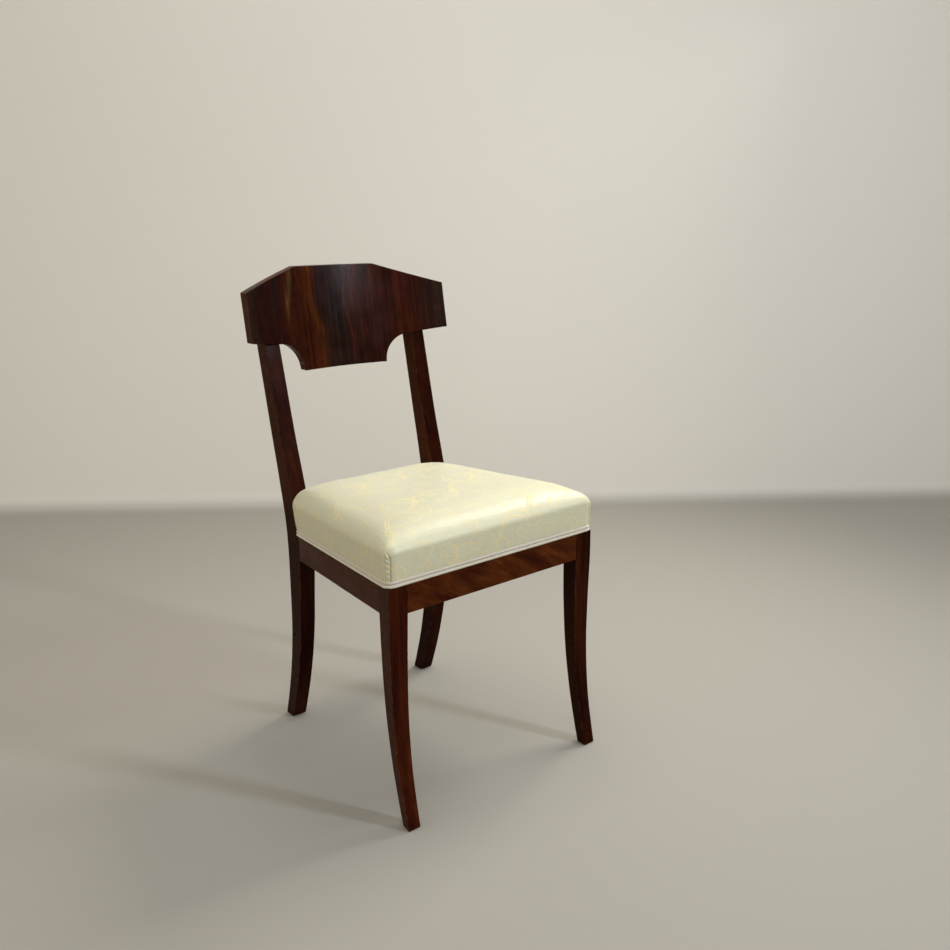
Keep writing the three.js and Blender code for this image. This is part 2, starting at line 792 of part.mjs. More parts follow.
// The stuffed form: sides drawn in at the welt, a full round shoulder and a crowned top.
// skin is how far the surface lies inside the outside of the cover.
function stuffedForm(skin, bottom) {
  const skirt = rebateDepth - gap - coverThickness;
  const sideRise = coverEdgeHeight - coverShoulderHeight;
  const levels = [{ inset: skirt, rise: bottom - weltLine }];
  coverRiseShares.forEach((share, number) => {
    const inset = THREE.MathUtils.lerp(skirt, -coverBulge, coverSwellShares[number]);
    levels.push({ inset, rise: sideRise * share });
  });
  for (let step = 1; step <= shoulderSteps; step += 1) {
    const turn = (Math.PI / 2) * (step / shoulderSteps);
    levels.push({
      inset: -coverBulge + (coverShoulderReach + coverBulge) * (1 - Math.cos(turn)),
      rise: sideRise + (coverShoulderHeight - skin) * Math.sin(turn),
      crowned: true,
    });
  }
  const { rise: topRise } = levels[levels.length - 1];
  crownRingShares.forEach((share) => {
    levels.push({ inset: rearLegOuter * share, rise: topRise, crowned: true });
  });
  const rings = levels.map(({ inset, rise, crowned }) => (
    seatRing(inset + skin, planRadius(inset + skin)).map(({ x, y }) => {
      const crown = crowned ? crownAt(x, y, skin) : 0;
      const rear = coverRearRise * (y / seatDepth) * Math.max(0, rise / coverEdgeHeight);
      return new THREE.Vector3(x, y, weltLine + rise + crown + rear);
    })));
  return solid(slopeSeat(loft(rings)));
}

function seatSlab(low, high) {
  const reach = seatHalfWidth + overrun;
  const far = seatBack + overrun;
  return plate([[-reach, -overrun], [reach, -overrun], [reach, far], [-reach, far]], low, high);
}

function seatCover() {
  const outside = clearOfStiles(stuffedForm(0, weltLine), gap);
  const hollow = stuffedForm(coverThickness, weltLine - overrun);
  const around = hollow.intersect(seatSlab(weltLine - overrun, baseClothLow));
  return outside.subtract(clearOfStiles(hollow, gap + coverThickness)).subtract(around);
}

function seatStuffing() {
  const skin = coverThickness + gap;
  const low = baseClothLow + baseClothThickness + gap;
  const form = stuffedForm(skin, weltLine).intersect(seatSlab(low, low + coverEdgeHeight + coverCrown));
  return clearOfStiles(form, gap + skin);
}

// Double welt: two cords in one section, swept along the plan of the seat

const weltCordSpread = weltCordRadius * weltSpreadShare;

function weltSection() {
  const waist = Math.acos(weltSpreadShare);
  const points = [];
  [1, -1].forEach((side) => {
    for (let step = 0; step <= weltSteps; step += 1) {
      const turn = THREE.MathUtils.lerp(waist - Math.PI, Math.PI - waist, step / weltSteps);
      points.push({
        out: side * weltCordRadius * Math.sin(turn),
        up: side * (weltCordSpread + weltCordRadius * Math.cos(turn)),
      });
    }
    points.pop();
  });
  return points;
}

function weltAlong(stations) {
  const level = weltLine + weltCordRadius + weltCordSpread;
  const rings = stations.map(({ x, y, turn }) => weltSection().map(({ out, up }) => (
    new THREE.Vector3(x + out * Math.cos(turn), y + out * Math.sin(turn), level + up))));
  return clearOfStiles(solid(slopeSeat(loft(rings))), gap);
}

function weltPlan() {
  const inset = rebateDepth - coverThickness - 2 * gap - weltCordRadius;
  return seatPlan(inset, planCornerRadius - inset);
}

function frontWelt() {
  const [rearLeft, frontLeft, frontRight, rearRight] = weltPlan();
  return weltAlong([rearLeft[rearLeft.length - 1], ...frontLeft, ...frontRight, rearRight[0]]);
}

function rearWelt() {
  const [rearLeft, , , rearRight] = weltPlan();
  return weltAlong([rearRight[rearRight.length - 1], rearLeft[0]]);
}

// Frame

addPair('front_leg', frontLeg(), materials.wood);
addPair('rear_leg', rearLeg(), materials.wood);
addPair('side_rail', sideRail(), materials.wood);
addPiece('front_rail', geometryOf(frontRail()), materials.wood);
addPiece('rear_rail', geometryOf(rearRail()), materials.wood);
addPiece('front_rail_veneer', geometryOf(frontRailVeneer()), materials.veneer);

// Crest

let crestCore = crestSlice(veneerThickness + gap, crestThickness);
crestScrews().flatMap((seat) => [seat, otherSide(seat)]).forEach((seat) => {
  crestCore = crestCore.subtract(holeAt(seat, crestScrewLength, 0));
});
addPiece('crest_rail', geometryOf(crestCore), materials.wood);
addPiece('crest_veneer', geometryOf(crestSlice(0, veneerThickness)), materials.veneer);

const crestScrew = screwBody(crestScrewLength);
const plug = geometryOf(solid(turned([
  [0, 0],
  [screwHeadRadius, 0],
  [screwHeadRadius, plugThickness],
  [0, plugThickness],
])));
crestScrews().forEach((seat) => {
  [['right', seat], ['left', otherSide(seat)]].forEach(([side, own]) => {
    placeAt(`crest_screw_${side}_${seat.name}`, crestScrew, materials.screw, own);
    const back = own.head.clone().addScaledVector(own.direction, -plugThickness - gap);
    placeAt(`crest_plug_${side}_${seat.name}`, plug, materials.wood, { ...own, head: back });
  });
});

// Corner blocks and their screws

const blockScrew = screwBody(blockScrewLength);
[['front', frontCorner(), frontLegBlank(gap)], ['rear', rearCorner(), rearLegBlank(gap)]].forEach(
  ([name, place, leg]) => {
    addPair(`corner_block_${name}`, cornerBlock(place, leg), materials.block);
    blockScrews(place).forEach((seat) => {
      placeAt(`block_screw_${name}_right_${seat.name}`, blockScrew, materials.screw, seat);
      placeAt(`block_screw_${name}_left_${seat.name}`, blockScrew, materials.screw, otherSide(seat));
    });
  });

// Seat

longPlaces.forEach((place, number) => {
  const sign = number % 2 === 0 ? 1 : -1;
  addPiece(`webbing_long_${number + 1}`, longStrap(place, sign), materials.webbing);
});
crossPlaces.forEach((place, number) => {
  const sign = number % 2 === 0 ? -1 : 1;
  addPiece(`webbing_cross_${number + 1}`, crossStrap(place, sign), materials.webbing);
});
addPiece('base_cloth', geometryOf(baseCloth()), materials.hessian);
addPiece('seat_stuffing', geometryOf(seatStuffing()), materials.stuffing);
addPiece('seat_cover', geometryOf(seatCover()), materials.damask);
addPiece('welt_front', geometryOf(frontWelt()), materials.welt);
addPiece('welt_rear', geometryOf(rearWelt()), materials.welt);
addPiece('dust_cloth', geometryOf(dustCloth()), materials.dustCloth);

// Origin under the middle of the whole chair
const bounds = new THREE.Box3().setFromObject(chair);
chair.position.y = -bounds.getCenter(new THREE.Vector3()).y;

export default chair;
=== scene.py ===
import math

import bmesh
import bpy
import numpy as np
from mathutils import Matrix, Vector, noise
from mathutils.bvhtree import BVHTree
from mathutils.kdtree import KDTree


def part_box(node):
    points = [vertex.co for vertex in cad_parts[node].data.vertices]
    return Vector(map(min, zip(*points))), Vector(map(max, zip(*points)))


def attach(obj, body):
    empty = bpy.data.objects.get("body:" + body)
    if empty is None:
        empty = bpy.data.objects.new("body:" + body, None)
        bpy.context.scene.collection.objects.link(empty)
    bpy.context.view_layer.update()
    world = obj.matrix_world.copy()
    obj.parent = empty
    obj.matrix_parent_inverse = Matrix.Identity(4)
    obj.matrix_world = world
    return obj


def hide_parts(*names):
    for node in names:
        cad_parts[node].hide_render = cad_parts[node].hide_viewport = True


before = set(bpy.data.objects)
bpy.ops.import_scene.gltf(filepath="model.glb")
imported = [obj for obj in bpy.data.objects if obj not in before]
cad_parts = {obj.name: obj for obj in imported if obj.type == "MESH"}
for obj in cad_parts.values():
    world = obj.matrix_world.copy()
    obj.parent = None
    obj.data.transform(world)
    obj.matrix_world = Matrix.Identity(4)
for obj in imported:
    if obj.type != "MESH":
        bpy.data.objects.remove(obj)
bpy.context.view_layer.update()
print("frame loaded:", len(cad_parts), "nodes")


# Object and mesh helpers

def newObject(name, data):
    made = bpy.data.objects.new(name, data)
    bpy.context.scene.collection.objects.link(made)
    return made


def newMesh(name, places, edges=(), faces=()):
    mesh = bpy.data.meshes.new(name)
    mesh.from_pydata(places, edges, faces)
    return mesh


def opened(mesh):
    work = bmesh.new()
    work.from_mesh(mesh)
    return work


def written(work, mesh):
    work.to_mesh(mesh)
    work.free()
    return mesh


def smooth(mesh, degrees):
    # Smooth shading, but for the edges sharper than this
    mesh.polygons.foreach_set("use_smooth", [True] * len(mesh.polygons))
    mesh.set_sharp_from_angle(angle=math.radians(degrees))


# Camera: where the photograph was taken from, in the chair's own frame

cameraView = {
    "place": (-0.96641, -1.35871, 0.94526),
    "turn": 0.6872,  # radians to the right of straight back
    "dip": 0.2587,
    "roll": 0.0106,
    "focalPixels": 943.65,
    "imagePixels": 950,
    "sensorWidth": 36,
    "reach": 60,
}


def addCamera(view):
    level = Vector((math.sin(view["turn"]), math.cos(view["turn"]), 0))
    right = Vector((math.cos(view["turn"]), -math.sin(view["turn"]), 0))
    ahead = level * math.cos(view["dip"]) - Vector((0, 0, math.sin(view["dip"])))
    down = ahead.cross(right)
    rolledRight = right * math.cos(view["roll"]) + down * math.sin(view["roll"])
    rolledDown = down * math.cos(view["roll"]) - right * math.sin(view["roll"])
    data = bpy.data.cameras.new("camera")
    data.sensor_width = view["sensorWidth"]
    data.lens = view["sensorWidth"] * view["focalPixels"] / view["imagePixels"]
    data.clip_end = view["reach"]
    camera = newObject("camera", data)
    turn = Matrix((rolledRight, -rolledDown, -ahead)).transposed()
    camera.matrix_world = Matrix.Translation(view["place"]) @ turn.to_4x4()
    bpy.context.scene.camera = camera


addCamera(cameraView)


# Node helpers, used by the material and the geometry trees

class Field:
    # A node's output. A sum written with it becomes a Math node.
    def __init__(self, socket):
        self.socket, self.tree = socket, socket.id_data

    def __add__(self, other):
        return calc("ADD", self, other)

    def __sub__(self, other):
        return calc("SUBTRACT", self, other)

    def __mul__(self, other):
        return calc("MULTIPLY", self, other)

    def __truediv__(self, other):
        return calc("DIVIDE", self, other)


def treeOf(values):
    return next(value.tree for value in values if isinstance(value, Field))


def wire(values, sockets):
    # Each value goes to its socket: a field is linked, anything else is set
    for key, value in values.items():
        if isinstance(value, Field):
            value.tree.links.new(value.socket, sockets[key])
        else:
            sockets[key].default_value = value


def addNode(tree, kind, inputs=None, **settings):
    made = tree.nodes.new(kind)
    for key, value in settings.items():
        setattr(made, key, value)
    wire(inputs or {}, made.inputs)
    return made


def output(tree, kind, inputs=None, socket=0, **settings):
    return Field(addNode(tree, kind, inputs, **settings).outputs[socket])


def calc(operation, *values):
    return output(treeOf(values), "ShaderNodeMath", dict(enumerate(values)), operation=operation)


def remap(value, low, high, newLow=0, newHigh=1):
    return output(value.tree, "ShaderNodeMapRange", {
        "Value": value, "From Min": low, "From Max": high, "To Min": newLow, "To Max": newHigh,
    }, interpolation_type="SMOOTHSTEP")


def mixColour(share, first, second, mode="MIX"):
    return output(treeOf((share, first, second)), "ShaderNodeMix", {
        0: share, 6: first, 7: second,
    }, 2, data_type="RGBA", blend_type=mode)


def dimmed(colour, factor):
    return mixColour(1.0, colour, (factor, factor, factor, 1), "MULTIPLY")


def colourRamp(value, stops):
    made = addNode(value.tree, "ShaderNodeValToRGB", {"Fac": value})
    elements = made.color_ramp.elements
    while len(elements) < len(stops):
        elements.new(1)
    for element, (position, colour) in zip(elements, stops):
        element.position = position
        element.color = colour
    return Field(made.outputs[0])


def mapped(place, turn=(0, 0, 0), shift=(0, 0, 0), scale=(1, 1, 1)):
    return output(place.tree, "ShaderNodeMapping", {
        "Vector": place, "Scale": scale, "Rotation": turn, "Location": shift,
    })


def noiseOf(place, scale=1, detail=2, roughness=0.5, distortion=0, shift=(0, 0, 0)):
    # A number as the scale sets the size, and a tuple stretches the noise
    if isinstance(scale, tuple):
        place, scale = mapped(place, shift=shift, scale=scale), 1
    return output(place.tree, "ShaderNodeTexNoise", {
        "Vector": place, "Scale": scale, "Detail": detail, "Roughness": roughness,
        "Distortion": distortion,
    })


def separate(place):
    return [Field(part) for part in addNode(place.tree, "ShaderNodeSeparateXYZ", {0: place}).outputs]


def combine(*parts):
    return output(treeOf(parts), "ShaderNodeCombineXYZ", dict(enumerate(parts)))


def newTree(name, kind, inputs, outputs):
    # An input is a number, its value at first, or the name of its kind of socket
    tree = bpy.data.node_groups.new(name, kind + "NodeTree")
    for label, value in inputs.items():
        isKind = isinstance(value, str)
        socketType = "NodeSocket" + (value if isKind else type(value).__name__.capitalize())
        socket = tree.interface.new_socket(label, in_out="INPUT", socket_type=socketType)
        if not isKind:
            socket.default_value = value
    for label, socketKind in outputs.items():
        tree.interface.new_socket(label, in_out="OUTPUT", socket_type="NodeSocket" + socketKind)
    enter, leave = tree.nodes.new("NodeGroupInput"), tree.nodes.new("NodeGroupOutput")
    return tree, {label: Field(enter.outputs[label]) for label in inputs}, leave.inputs


def newGroup(name, inputs, *outputs):
    return newTree(name, "Shader", {"Place": "Vector", **inputs}, dict.fromkeys(outputs, "Float"))


def useGroup(group, inputs):
    made = addNode(treeOf(inputs.values()), "ShaderNodeGroup", node_tree=group)
    wire(inputs, made.inputs)
    return {socket.name: Field(socket) for socket in made.outputs}


def newMaterial(name, uvMap=None):
    # A material, and the place that its patterns are drawn on
    material = bpy.data.materials.new(name)
    material.use_nodes = True
    if uvMap:
        return material, output(material.node_tree, "ShaderNodeUVMap", uv_map=uvMap)
    return material, output(material.node_tree, "ShaderNodeTexCoord", socket="Object")


def attributeOf(material, name):
    return output(material.node_tree, "ShaderNodeAttribute", socket="Fac", attribute_name=name)


def finish(material, colour, roughness, bump=None, others=None):
    # bump: the height, and its strength and distance
    inputs = {"Base Color": colour, "Roughness": roughness, **(others or {})}
    if bump:
        height, strength, distance = bump
        inputs["Normal"] = output(height.tree, "ShaderNodeBump", {
            "Height": height, "Strength": strength, "Distance": distance,
        })
    wire(inputs, material.node_tree.nodes["Principled BSDF"].inputs)
    return material


# Stage: pale floor and wall, soft studio light at a plain level

stage = {
    "floorColour": (0.41, 0.385, 0.34, 1),
    "wallColour": (0.93, 0.895, 0.83, 1),
    "roughness": 0.85,
    "worldColour": (1, 0.985, 0.96, 1),
    "worldStrength": 0.4,
    "walls": {"side": 5.2, "front": 5.0, "back": 1.49, "height": 4.4},
    "coveRadius": 0.06,
    "coveSteps": 16,
    "sharpDegrees": 60,
    "turn": 0.0217,  # of the room, against the camera
    "lamps": [
        # name, place, aim, width, height, watts, colour, spread in degrees
        ("rightWindow", (1.54, -0.07, 1.96), (0, 0, 0.45), 0.9, 0.9, 10.2, (1, 0.98, 0.92), 105),
        ("ceiling", (0, -0.1, 3.1), (0, 0, 0.3), 2.1, 1.9, 21.5, (1, 0.985, 0.95), 180),
        ("frontRight", (1.4, -2.78, 2.0), (0, 0, 0.7), 0.26, 0.5, 17, (0.8, 0.89, 1), 120),
        ("leftWall", (-2.9, 0.4, 1.1), (0, 0, 0.5), 1.8, 2.0, 8.5, (1, 0.89, 0.7), 180),
        ("frontFill", (-1.7, -3.2, 1.7), (0, 0.4, 0.9), 2.4, 1.8, 14, (1, 0.975, 0.9), 180),
    ],
}


def roomMesh(walls, radius, steps):
    # The floor curves up into four walls
    turns = [math.pi / 2 * step / steps for step in range(steps + 1)]
    profile = [(radius - radius * math.sin(turn), radius - radius * math.cos(turn)) for turn in turns]
    profile.append((0, walls["height"]))
    points, faces = [], [(0, 1, 2, 3)]
    for inset, height in profile:
        side, front, back = (walls[name] - inset for name in ("side", "front", "back"))
        corners = ((-side, -front), (side, -front), (side, back), (-side, back))
        points += [(x, y, height) for x, y in corners]
    for ring in range(len(profile) - 1):
        for corner in range(4):
            low, other = 4 * ring + corner, 4 * ring + (corner + 1) % 4
            faces.append((other, low, low + 4, other + 4))
    return newMesh("backdrop", points, faces=faces)


def backdropPaint(values):
    material, place = newMaterial("backdropPaint")
    tree = material.node_tree
    share = remap(separate(place)[2], 0.0, values["coveRadius"])
    finish(material, mixColour(share, values["floorColour"], values["wallColour"]), values["roughness"])
    oneSided = output(tree, "ShaderNodeMixShader", {  # a view from outside the room looks in
        0: output(tree, "ShaderNodeNewGeometry", socket="Backfacing"),
        1: Field(tree.nodes["Principled BSDF"].outputs[0]),
        2: output(tree, "ShaderNodeBsdfTransparent"),
    })
    wire({"Surface": oneSided}, tree.nodes["Material Output"].inputs)
    return material


def addStage(values):
    mesh = roomMesh(values["walls"], values["coveRadius"], values["coveSteps"])
    smooth(mesh, values["sharpDegrees"])
    mesh.materials.append(backdropPaint(values))
    backdrop = newObject("backdrop", mesh)
    backdrop.rotation_euler.z = values["turn"] - cameraView["turn"]  # nearly square to the camera


def addLamp(name, place, aim, width, height, watts, colour, spread):
    data = bpy.data.lights.new(name, "AREA")
    data.shape = "RECTANGLE"
    data.size, data.size_y = width, height
    data.energy = watts
    data.color = colour
    data.spread = math.radians(spread)
    lamp = newObject(name, data)
    lamp.location = place
    lamp.rotation_mode = "QUATERNION"
    lamp.rotation_quaternion = (Vector(aim) - Vector(place)).to_track_quat("-Z", "Y")


def addWorld(values):
    world = bpy.data.worlds.new("studio")
    world.use_nodes = True
    bpy.context.scene.world = world
    background = world.node_tree.nodes["Background"].inputs
    wire({"Color": values["worldColour"], "Strength": values["worldStrength"]}, background)


addStage(stage)
addWorld(stage)
for lamp in stage["lamps"]:
    addLamp(*lamp)
bpy.context.scene.view_settings.view_transform = "Standard"
print("stage: floor, wall and", len(stage["lamps"]), "lamps")


# Shader groups

def buildGrain():
    # Straight mahogany grain along Z: ribbons, streaks, fibres and pores
    group, enter, leave = newGroup("mahoganyGrain", {
        "Ribbon Share": 0.45, "Streak Share": 0.4,
    }, "Tone", "Pores", "Height")
    place = enter["Place"]
    ribbons = noiseOf(place, (34, 34, 2.4), 2, 0.5, 0.5)
    streaks = noiseOf(place, (170, 170, 5), 5, 0.62, 0.2)
    fibres = noiseOf(place, (1100, 1100, 26))
    pores = remap(noiseOf(place, (1500, 1500, 70), 1), 0.6, 0.74)
    wire({
        "Tone": ribbons * enter["Ribbon Share"] + streaks * enter["Streak Share"] + fibres * 0.15,
        "Pores": pores,
        "Height": fibres * 0.3 + ribbons * 0.5 - pores * 0.8,
    }, leave)
    return group


def buildFlame():
    # Flame figure: blotched tongues along Z, crossed by fine grain
    group, enter, leave = newGroup("flameFigure", {"Size": 1.0}, "Tone", "Height")
    place = output(group, "ShaderNodeVectorMath", {
        "Vector": enter["Place"], "Scale": enter["Size"],
    }, operation="SCALE")
    tongues = noiseOf(place, (62, 62, 15), 3, 0.55, 1.1)
    wisps = noiseOf(place, (210, 210, 26), 4, 0.6, 0.8)
    curls = noiseOf(place, (18, 18, 26), 2, 0.5, 0.6)
    wire({
        "Tone": tongues * 0.5 + wisps * 0.25 + curls * 0.25,
        "Height": tongues + wisps * 0.5,
    }, leave)
    return group


def buildWear():
    # Patchy rubbing along edges, and small pale scuffs
    group, enter, leave = newGroup("woodWear", {
        "Edge": 0.0, "Scuff Level": 0.78,
    }, "Rubbed", "Scuffs", "Smudge")
    place, level = enter["Place"], enter["Scuff Level"]
    patches = remap(noiseOf(place, 55, 3, 0.6), 0.45, 0.68)
    marks = noiseOf(place, (260, 260, 170), 3, 0.6, 0.3)
    marks = marks * remap(noiseOf(place, 14, 1), 0.45, 0.72, 0.75, 1.06)
    wire({
        "Rubbed": enter["Edge"] * patches,
        "Scuffs": remap(marks, level, level + 0.03),
        "Smudge": noiseOf(place, 16, 3, 0.55, 0.3),
    }, leave)
    return group


grainGroup = buildGrain()
flameGroup = buildFlame()
wearGroup = buildWear()


# Wood finishes

polish = {
    "deep": (0.013, 0.0014, 0.0005, 1),
    "dark": (0.028, 0.0036, 0.0011, 1),
    "middle": (0.056, 0.0102, 0.0023, 1),
    "light": (0.12, 0.031, 0.0066, 1),
    "pores": (0.006, 0.0014, 0.0007, 1),
    "rubbed": (0.19, 0.085, 0.042, 1),
    "scuff": (0.25, 0.2, 0.16, 1),
    # painted light: the browner tone of faces that look sideways, for how they take the light
    "side": (0.052, 0.0185, 0.0085, 1),
    "veneerEdge": (0.17, 0.1, 0.055, 1),
    "roughness": 0.3,
    "relief": 0.25,
    "bumpDistance": 0.0004,
    "specular": 0.028,
    "coatWeight": 0.02,
    "coatRoughness": 0.12,
    "bleachedFrom": (0.42, 0.5),  # heights between which the sides turn paler: painted light, where they catch more light above the seat
}

alongZ = (0, 0, 0)
alongX = (0, math.radians(90), 0)
alongY = (math.radians(90), 0, 0)


def finishWood(
        material, place, colour, height, roughness=polish["roughness"], relief=polish["relief"], gloss=1):
    trim = attributeOf(material, "trim")  # 1 on a bare edge of veneer; -1 in a joint, which is painted dark as shade
    wear = useGroup(wearGroup, {"Place": place, "Edge": attributeOf(material, "edgeWear")})
    layers = (
        # a joint takes the pores' dark colour: painted shade in the gap
        (calc("MAXIMUM", trim, 0), "veneerEdge"), (calc("MAXIMUM", trim * -1, 0), "pores"),
        (wear["Rubbed"] * 0.55, "rubbed"), (wear["Scuffs"] * 0.3, "scuff"),
    )
    for share, layer in layers:
        colour = mixColour(share, colour, polish[layer])
    rough = remap(wear["Smudge"], 0.3, 0.75, -0.06, 0.1) + roughness + wear["Scuffs"] * 0.2
    return finish(material, colour, rough, (height, relief, polish["bumpDistance"]), {
        "Coat Weight": polish["coatWeight"], "Coat Roughness": polish["coatRoughness"],
        "Specular IOR Level": polish["specular"] * gloss,
    })


def polishedWood(name, turn, shift, lightness=1, gloss=1, bleach=1):
    material, place = newMaterial(name)
    grain = useGroup(grainGroup, {"Place": mapped(place, turn, shift)})
    sideCut = attributeOf(material, "sideCut")
    colour = colourRamp(grain["Tone"], [
        (0.3, polish["deep"]), (0.44, polish["dark"]), (0.56, polish["middle"]), (0.74, polish["light"]),
    ])
    colour = mixColour(grain["Pores"] * 0.7, colour, polish["pores"])
    sideTone = mixColour(0.7, colour, polish["side"])  # browner on the faces that look sideways: painted light, for how these faces take the light, and partly the grain cut the other way
    colour = dimmed(mixColour(sideCut, colour, sideTone), lightness)
    if bleach != 1:  # painted light: the sides are made paler above the seat, where light falls, than below it in its shade
        share = sideCut * remap(separate(place)[2], *polish["bleachedFrom"])
        colour = mixColour(share, colour, dimmed(colour, bleach))
    return finishWood(material, place, colour, grain["Height"], gloss=gloss)


def flameWood(name, turn, shift, stops, size):
    material, place = newMaterial(name)
    flamePlace = mapped(place, turn, shift)
    flame = useGroup(flameGroup, {"Place": flamePlace, "Size": size})
    grain = useGroup(grainGroup, {"Place": flamePlace})
    colour = mixColour(grain["Pores"] * 0.5, colourRamp(flame["Tone"], stops), polish["pores"])
    return finishWood(material, place, colour, grain["Height"])


crestTints = {
    # red, green and blue, for a strength of 1
    "wine": (1, 0.13, 0.05),
    "rust": (1, 0.18, 0.043),
    "amber": (1, 0.25, 0.044),
    "straw": (1, 0.47, 0.14),
    "plum": (1, 0.19, 0.095),
    "umber": (1, 0.25, 0.125),
    "walnut": (1, 0.36, 0.19),
    # a grey tint, used only high up on the crest: partly painted reflection of the sheen there
    "smoke": (1, 0.42, 0.4),
}

crestBands = [
    # share of the crest's width, then the tint and its strength high up and low down
    (0.0, "walnut", 0.028, "walnut", 0.026),
    (0.06, "wine", 0.014, "wine", 0.014),
    (0.14, "wine", 0.018, "wine", 0.02),
    (0.172, "smoke", 0.018, "plum", 0.022),
    (0.195, "wine", 0.022, "wine", 0.026),
    (0.23, "rust", 0.036, "rust", 0.03),
    (0.25, "straw", 0.085, "rust", 0.034),
    (0.27, "rust", 0.034, "rust", 0.034),
    (0.33, "rust", 0.046, "rust", 0.038),
    (0.362, "amber", 0.095, "rust", 0.046),
    (0.385, "rust", 0.052, "amber", 0.088),
    (0.402, "smoke", 0.028, "amber", 0.06),
    (0.425, "smoke", 0.024, "walnut", 0.022),
    (0.5, "smoke", 0.026, "walnut", 0.018),
    (0.54, "smoke", 0.022, "umber", 0.022),
    (0.551, "walnut", 0.05, "plum", 0.06),
    (0.563, "smoke", 0.02, "umber", 0.024),
    (0.6, "plum", 0.055, "umber", 0.034),
    (0.64, "umber", 0.026, "plum", 0.03),
    (0.69, "umber", 0.055, "plum", 0.046),
    (0.75, "plum", 0.032, "plum", 0.036),
    (0.82, "plum", 0.058, "rust", 0.055),
    (0.9, "plum", 0.036, "plum", 0.038),
    (0.97, "walnut", 0.034, "walnut", 0.032),
]

crestFigure = {
    "width": 0.43,
    "fade": (0.762, 0.822),  # heights between which the colour changes
    "fadeSpread": 0.16,
    "bend": 0.022,
    "sway": 0.03,
    "roughness": 0.14,
    "relief": 0.42,
    "gloss": 1.9,
}


def tinted(tint, strength):
    return [part * strength for part in crestTints[tint]] + [1]


def crestFlame(name, shift, values):
    # Crotch figure: bands that run up the crest, bent a little, with fine straight streaks
    material, place = newMaterial(name)
    x, _, z = separate(place)
    bend = noiseOf(place, (22, 1, 7), 3, 0.55, shift=shift) - 0.5
    sway = noiseOf(place, (3, 1, 9), 1, shift=shift) - 0.5
    patches = noiseOf(place, (44, 1, 16), shift=shift) - 0.5
    share = (x + bend * values["bend"] + sway * values["sway"]) / values["width"] + 0.5
    high = colourRamp(share, [(start, tinted(tint, level)) for start, tint, level, _, _ in crestBands])
    low = colourRamp(share, [(start, tinted(tint, level)) for start, _, _, tint, level in crestBands])
    bands = mixColour(remap(z + patches * values["fadeSpread"], *values["fade"]), low, high)
    streaks = noiseOf(place, (170, 1, 5), 4, 0.62, 0.3, shift)
    flame = useGroup(flameGroup, {"Place": place, "Size": 0.8})
    grain = useGroup(grainGroup, {"Place": place})
    light = remap(flame["Tone"], 0.32, 0.68, 0.42, 0.95) * remap(streaks, 0.3, 0.7, 0.6, 1.5)
    colour = mixColour(1.0, bands, light, "MULTIPLY")
    colour = mixColour(grain["Pores"] * 0.5, colour, polish["pores"])
    crackle = noiseOf(place, (520, 1, 260), 3, 0.6)
    height = flame["Height"] * 1.2 + crackle * 1.6 + grain["Height"]
    return finishWood(material, place, colour, height, values["roughness"], values["relief"], values["gloss"])


railFlame = [
    (0.3, (0.018, 0.0024, 0.0008, 1)),
    (0.42, (0.042, 0.0072, 0.0014, 1)),
    (0.54, (0.084, 0.019, 0.0032, 1)),
    (0.7, (0.165, 0.047, 0.008, 1)),
]

woodFinishes = {
    # The right-hand legs have lower lightness than the left-hand ones: painted shade, as they stand in shade
    "front_leg_left": polishedWood("frontLegLeftPolish", alongZ, (0.31, 0.12, 0.4), 1.05, 0.8),
    "front_leg_right": polishedWood("frontLegRightPolish", alongZ, (1.7, 0.6, 1.4), 0.55, 0.5),
    "rear_leg_left": polishedWood("rearLegLeftPolish", alongZ, (2.6, 1.9, 0.2), 0.55, 0.7, 2),
    "rear_leg_right": polishedWood("rearLegRightPolish", alongZ, (3.3, 0.4, 2.2), 0.45, 0.5, 2.5),
    "side_rail_left": polishedWood("sideRailLeftPolish", alongY, (0.9, 2.4, 1.1), 1.25),
    "side_rail_right": polishedWood("sideRailRightPolish", alongY, (1.2, 3.1, 0.6), 1.25),
    "front_rail": polishedWood("frontRailPolish", alongX, (0.2, 1.4, 2.9)),
    "rear_rail": polishedWood("rearRailPolish", alongX, (2.2, 0.7, 1.8)),
    "crest_rail": polishedWood("crestPolish", alongX, (1.1, 2.8, 3.7), 1.05, 1, 1.3),
    "front_rail_veneer": flameWood(
        "frontRailFlame", (0, math.radians(58), 0), (0.4, 0.9, 0.3), railFlame, 0.55),
    "crest_veneer": crestFlame("crestFlame", (0.2, 0, 1.3), crestFigure),
}
plugMaterial = polishedWood("plugEndGrain", alongY, (0.6, 0.2, 1.9), 1.5)
print("wood finishes:", len(woodFinishes))


# Damask: a ground of satin with scrolls of matt gold thread. A scroll is a chain of arcs, drawn
# like a pen that turns: each arc starts where the last one ended, in the same direction.

curlArcs = ((60, 45), (32, 70), (20, 95), (12, 110), (7, 120), (4.2, 130))  # radius in mm, degrees
hookArcs = ((38, 40), (16, 110), (9, 120), (5, 150))
outlineArcs = ((60, 44), (34, 76), (22, 50))
sprigArcs = ((50, 60), (26, 60))
loopArcs = ((17, 140), (14, 110), (11, 80))

